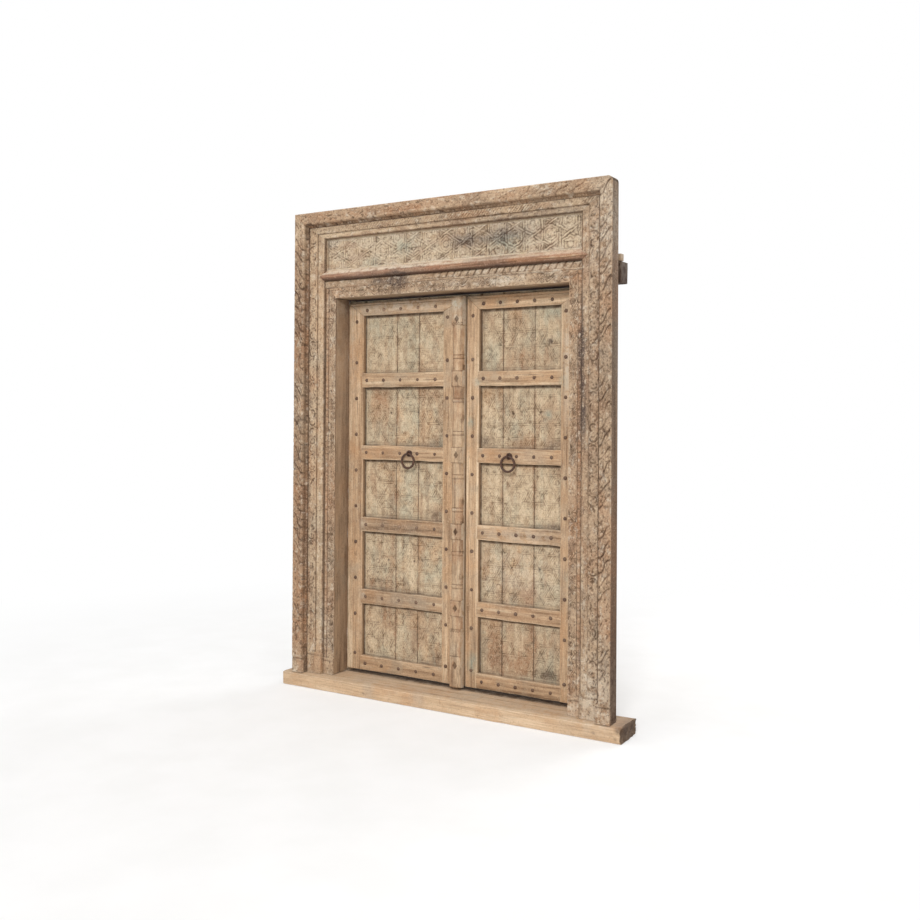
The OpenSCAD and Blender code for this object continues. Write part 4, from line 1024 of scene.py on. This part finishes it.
def top_rail(side):
    node = f"{side}_top_rail"
    low, high = span(node)
    field_low, field_high = (v[0] for v in span(f"{side}_rail_1"))
    lines, cut = groove(high[2] - 12)

    def mitre(points):
        up = (points[:, 2] - low[2]) / (high[2] - low[2])
        left = field_low + (low[0] - field_low) * up
        right = field_high + (high[0] - field_high) * up
        points[:, 0] = left + (points[:, 0] - low[0]) / (high[0] - low[0]) * (right - left)
        return points

    timber_piece(node, ("bleached", "x"), "bleached_wood", f"{side}_leaf", step=14, dents=1.5,
                 cuts={2: lines}, front=lambda x, z: cut(z), bend=mitre, dirt=0.5)


def uneven(points):
    """Edges that wander a little along a rail."""
    x, y, z = points.T
    return np.stack([x, y, z + 3.0 * noise(x / 70, np.round(z / 60)) - 1.5], -1)


def grimy(x, y, z):
    return 0.06 + 0.2 * smooth(cloud(x / 130, z / 18, 3), 0.52, 0.70)


def plain_rails(side):
    """Rails, which lap over the stiles and stand a little proud of them, and the battens on the back."""
    body = f"{side}_leaf"
    for rail in RAILS[1:]:
        low, high = span(f"{side}_{rail}")
        low[2] += FOOT_WORN * (rail == "bottom_rail")
        box = low - (9, 1.5, 0), high + (7, 0, 0)
        timber_piece(f"{side}_{rail}", ("bleached", "x"), "bleached_wood", body, box, radius=6.0, step=11,
                     dents=1.8, bend=uneven, dirt=0.6, shade=grimy)
    for k in range(1, 4):
        timber_piece(f"{side}_batten_{k}", ("panel", "x"), "panel_wood", body, step=18, dents=1.5)


def astragal():
    """Cover post on the meeting edge: half-round stretches with rings, between blocks with diamonds."""
    low, high = span("astragal")
    width, middle = high[0] - low[0], (high[0] + low[0]) / 2
    half_block, top_block, foot_block, ring_set = 39.5, 139, 280, 64
    rails = [sum(z[2] for z in span(f"left_rail_{k}")) / 2 for k in range(1, 5)]
    blocks = [(high[2] - top_block, high[2])] + [(z - half_block, z + half_block) for z in rails]
    blocks.append((low[2], low[2] + foot_block))
    steps = [np.array([a - 0.2, a, a + 3, b - 3, b, b + 0.2]) for a, b in blocks]
    z = joined(spaced(low[2], high[2], 3.5), np.clip(np.concatenate(steps), low[2], high[2]))
    x = joined(spaced(low[0], high[0], 2.2), low[0] + np.array([1.2, 3]), high[0] - np.array([3, 1.2]))
    gx, gz = np.meshgrid(x, z)
    off = np.abs(gx - middle)
    on_block, cuts, rings = (np.zeros(gx.shape) for _ in range(3))
    for k, (a, b) in enumerate(blocks):
        on_block = np.maximum(on_block, ((gz >= a) & (gz <= b)) * 1.0)
        centre = (a + b) / 2 if 0 < k < 5 else (a + 30 if k == 0 else a + 106)
        boss = off + 0.7 * np.abs(gz - centre)
        cuts = np.maximum(cuts, smooth(15 - boss, 0, 5))
        cuts = np.maximum(cuts, 0.6 * (bump(gz, a + 3, 1.6) + bump(gz, b - 3, 1.6)))
    teeth = 6 * np.abs(2 * cell(gx / 14.0))
    for at in (blocks[0][0] + 8, blocks[-1][1] - 14):
        cuts = np.maximum(cuts, 0.8 * bump(gz - teeth, at, 2.0))
    cuts = np.maximum(cuts, 0.7 * bump(gz, low[2] + 150, 2.0))
    for (above, _), (_, below) in zip(blocks, blocks[1:]):
        stretch = above - below
        places = (below + ring_set, above - ring_set) if stretch > 3.5 * ring_set else (below + ring_set,)
        for at in places if stretch > 2 * ring_set else ():
            rings = np.maximum(rings, smooth(9 - np.abs(gz - at), 0, 2.5))
            cuts = np.maximum(cuts, 0.8 * (bump(gz, at - 9, 1.8) + bump(gz, at + 9, 1.8)) * (on_block == 0))
    swell = np.clip(off / (28.5 + 1.5 * rings), 0, 1)
    shaft = low[1] + 2.5 * (1 - rings) + 25 * (1 - (1 - swell**2.6) ** (1 / 2.6))
    soft = 4.0 * (1 - smooth(width / 2 - off, 0, 5))
    face = np.where(on_block > 0, low[1] + soft, np.minimum(shaft, high[1] - 12))
    chips = smooth(cloud(gx / 9, gz / 40, 3), 0.58, 0.75) * smooth(gx, middle + 12, high[0])
    depth = face + 2.6 * np.clip(cuts, 0, 1) + 1.2 * rough(gx * 3, gz, 26) + 5.0 * chips
    hollow = 0.1 + 0.95 * cuts + 0.6 * chips
    hollow += 0.3 * smooth(cloud(gx / 12 + 8, gz / 70, 4), 0.5, 0.7)
    warm = 0.7 * smooth(cloud(gx / 30, gz / 90, 4), 0.48, 0.66)
    # The side walls get wear and pale marks: painted light, so the right side, which the key light leaves in
    # shade, reads pale.
    slab_piece("astragal", ("bleached", "z"), (gx, np.minimum(depth, high[1] - 1), gz), high[1],
               {"wear": 0.8, "pale": 0.8}, None, "left_leaf", "bleached_wood", hollow=hollow,
               wear=0.4 * (1 - hollow), warm=warm)


# Ironwork


def studs(side):
    """Forged stud heads, each a little different, where the frame has them."""
    node = f"{side}_studs"
    points = np.array([v.co for v in frame["nodes"][node].data.vertices]) / MM
    top, back = points[:, 1].min(), points[:, 1].max()
    centres = np.unique(np.round(points[points[:, 1] < top + 0.05][:, [0, 2]]), axis=0)
    height = (back - top) * 0.96
    radius = points[:, 0].max() - np.max(centres[:, 0])
    sides, rings = 14, 5
    turn = np.linspace(0, 2 * math.pi, sides, endpoint=False)
    faces = []
    for k in range(rings - 2):
        for i in range(sides):
            j = (i + 1) % sides
            faces.append([k * sides + i, k * sides + j, (k + 1) * sides + j, (k + 1) * sides + i])
    tip, last = (rings - 1) * sides, (rings - 2) * sides
    faces += [[last + i, last + (i + 1) % sides, tip] for i in range(sides)]
    faces.append(list(range(sides))[::-1])
    shape = Shape()
    for cx, cz in centres:
        size = radius * (0.84 + 0.14 * random.random())
        dome = []
        for t in np.linspace(0, 1, rings)[:-1]:
            r = size * math.sqrt(1 - t**2) * (0.93 + 0.07 * random.random(sides))
            level = np.full(sides, back - height * t)
            dome.append(np.stack([cx + r * np.cos(turn), level, cz + r * np.sin(turn)], -1))
        dome.append([[cx, back - height, cz]])
        dome = np.concatenate(dome)
        marks = np.zeros((len(dome), len(MARKS)))
        rubbed = cz > 1860 or 780 < cz < 860 or (cx < -570 and cz > 1600)
        faded = 0.75 if side == "left" and rubbed else 0.25
        marks[:, MARKS.index("pale")] = 0.12 + faded * random.random()
        shape.add(dome, faces, marks)
    shape.piece(f"{side}_studs_forged", IRON, f"{side}_leaf", "iron", node)


def ring(side):
    """Forged pull ring, slightly uneven."""
    node = f"{side}_ring"
    low, high = span(node)
    wire = (high[1] - low[1]) / 2
    middle = (low + high) / 2
    radius = (high[0] - low[0]) / 2 - wire
    around, across = 56, 14
    a, b = np.meshgrid(np.linspace(0, 2 * math.pi, around, endpoint=False),
                       np.linspace(0, 2 * math.pi, across, endpoint=False), indexing="ij")
    lumps = wire * (1.06 + 0.06 * cloud(3 + 2.2 * np.cos(a) + b / 3, 3 + 2.2 * np.sin(a)))
    out = radius + lumps * np.cos(b)
    points = middle + np.stack([out * np.cos(a), lumps * np.sin(b), out * np.sin(a)], -1)
    index = np.arange(around * across).reshape(around, across)
    turn, roll = np.roll(index, -1, 0), np.roll(index, -1, 1)
    faces = np.stack([index, roll, np.roll(turn, -1, 1), turn], -1).reshape(-1, 4)
    shape = Shape()
    shape.add(points, faces.tolist())
    shape.piece(f"{side}_ring_forged", IRON, f"{side}_ring", "iron", node)


def build():
    for side in SIDES:
        outer_jamb(side)
        second_jamb(side)
        inner_band(side)
        for name in ("pivot_board", "middle_board", "meeting_board"):
            board(side, name)
        stile(side, "outer_stile", OUTER_STRIP)
        stile(side, "meeting_stile", MEETING_STRIP if side == "right" else 0)
        top_rail(side)
        plain_rails(side)
        studs(side)
        ring(side)
        for name in ("ring_plate", "staple"):
            plate = frame["nodes"][f"{side}_{name}"]
            plate.data.materials.clear()
            plate.data.materials.append(IRON)
    for make in (outer_head, second_head, inner_band_head, rope_moulding, ledge, transom_board,
                 posts_and_lintel, sill, astragal):
        make()


# Stage, light and camera

PICTURE = 920
FOCAL_PX = 1028.0
CENTRE_PX = 410.5
EYE = (2.5787, -4.0210, 1.3606)
YAW, PITCH, ROLL = (math.radians(a) for a in (31.400, 0.409, 0.339))
SENSOR = 36.0
FLOOR_SIZE = 40.0
FLOOR_FADE = (1.2, 4.2)
AMBIENT = 0.5
WHITE = (1, 1, 1, 1)
# Each: place, aim, size, watts
LIGHTS = {
    "key": ((6.3, -17.3, 9.0), (0, 0, 1.2), 4.4, 2200),
    "top": ((0.3, -1.5, 7.0), (0, 0, 0.6), 4.0, 150),
    "back": ((1.5, 4.5, 3.4), (0, 0, 1.2), 3.0, 90),
}


def floor():
    """Pale floor that keeps the shadow near the door and turns white further off."""
    mesh = bpy.data.meshes.new("floor")
    h = FLOOR_SIZE / 2
    mesh.from_pydata([(-h, -h, 0), (h, -h, 0), (h, h, 0), (-h, h, 0)], [], [(0, 1, 2, 3)])
    g = Graph(bpy.data.materials.new("pale_floor"))
    here = g.node("ShaderNodeTexCoord").outputs["Object"]
    away = g.node("ShaderNodeVectorMath", {0: here}, operation="LENGTH").outputs["Value"]
    shade = g.mix(g.ranged(g.noise(here, 3.0), 0.3, 0.7), linear(243, 242, 240), linear(249, 248, 247))
    matt = g.node("ShaderNodeBsdfPrincipled", {"Base Color": shade, "Roughness": 0.9})
    white = g.node("ShaderNodeEmission", {"Color": WHITE, "Strength": 1.0})
    far = g.math("MULTIPLY", g.seen(), g.ranged(away, *FLOOR_FADE, 0.35, 1.0))
    mixed = g.node("ShaderNodeMixShader", {0: far, 1: matt.outputs[0], 2: white.outputs[0]})
    g.node("ShaderNodeOutputMaterial", {"Surface": mixed.outputs[0]})
    mesh.materials.append(g.owner)
    linked("floor", mesh)


def world():
    """White where it is seen, and a plain even light elsewhere."""
    g = Graph(bpy.data.worlds.new("studio"))
    strength = g.ranged(g.seen(), 0.0, 1.0, AMBIENT, 1.0)
    sky = g.node("ShaderNodeBackground", {"Color": WHITE, "Strength": strength})
    g.node("ShaderNodeOutputWorld", {"Surface": sky.outputs[0]})
    bpy.context.scene.world = g.owner


def lights_and_camera():
    for name, (place, aim, size, watts) in LIGHTS.items():
        light = bpy.data.lights.new(name, "AREA")
        light.shape = "DISK"
        light.size = size
        light.energy = watts
        lamp = linked(name, light)
        lamp.location = place
        lamp.rotation_euler = (Vector(aim) - Vector(place)).to_track_quat("-Z", "Y").to_euler()
    optics = bpy.data.cameras.new("camera")
    optics.sensor_width = SENSOR
    optics.lens = FOCAL_PX / PICTURE * SENSOR
    optics.shift_y = (CENTRE_PX - PICTURE / 2) / PICTURE
    camera = linked("camera", optics)
    camera.location = EYE
    tilt = Matrix.Rotation(math.pi / 2 + PITCH, 3, "X")
    turn = Matrix.Rotation(YAW, 3, "Z") @ tilt @ Matrix.Rotation(ROLL, 3, "Z")
    camera.rotation_euler = turn.to_euler()
    bpy.context.scene.camera = camera


build()
floor()
world()
lights_and_camera()
bpy.context.scene.view_settings.view_transform = "Standard"
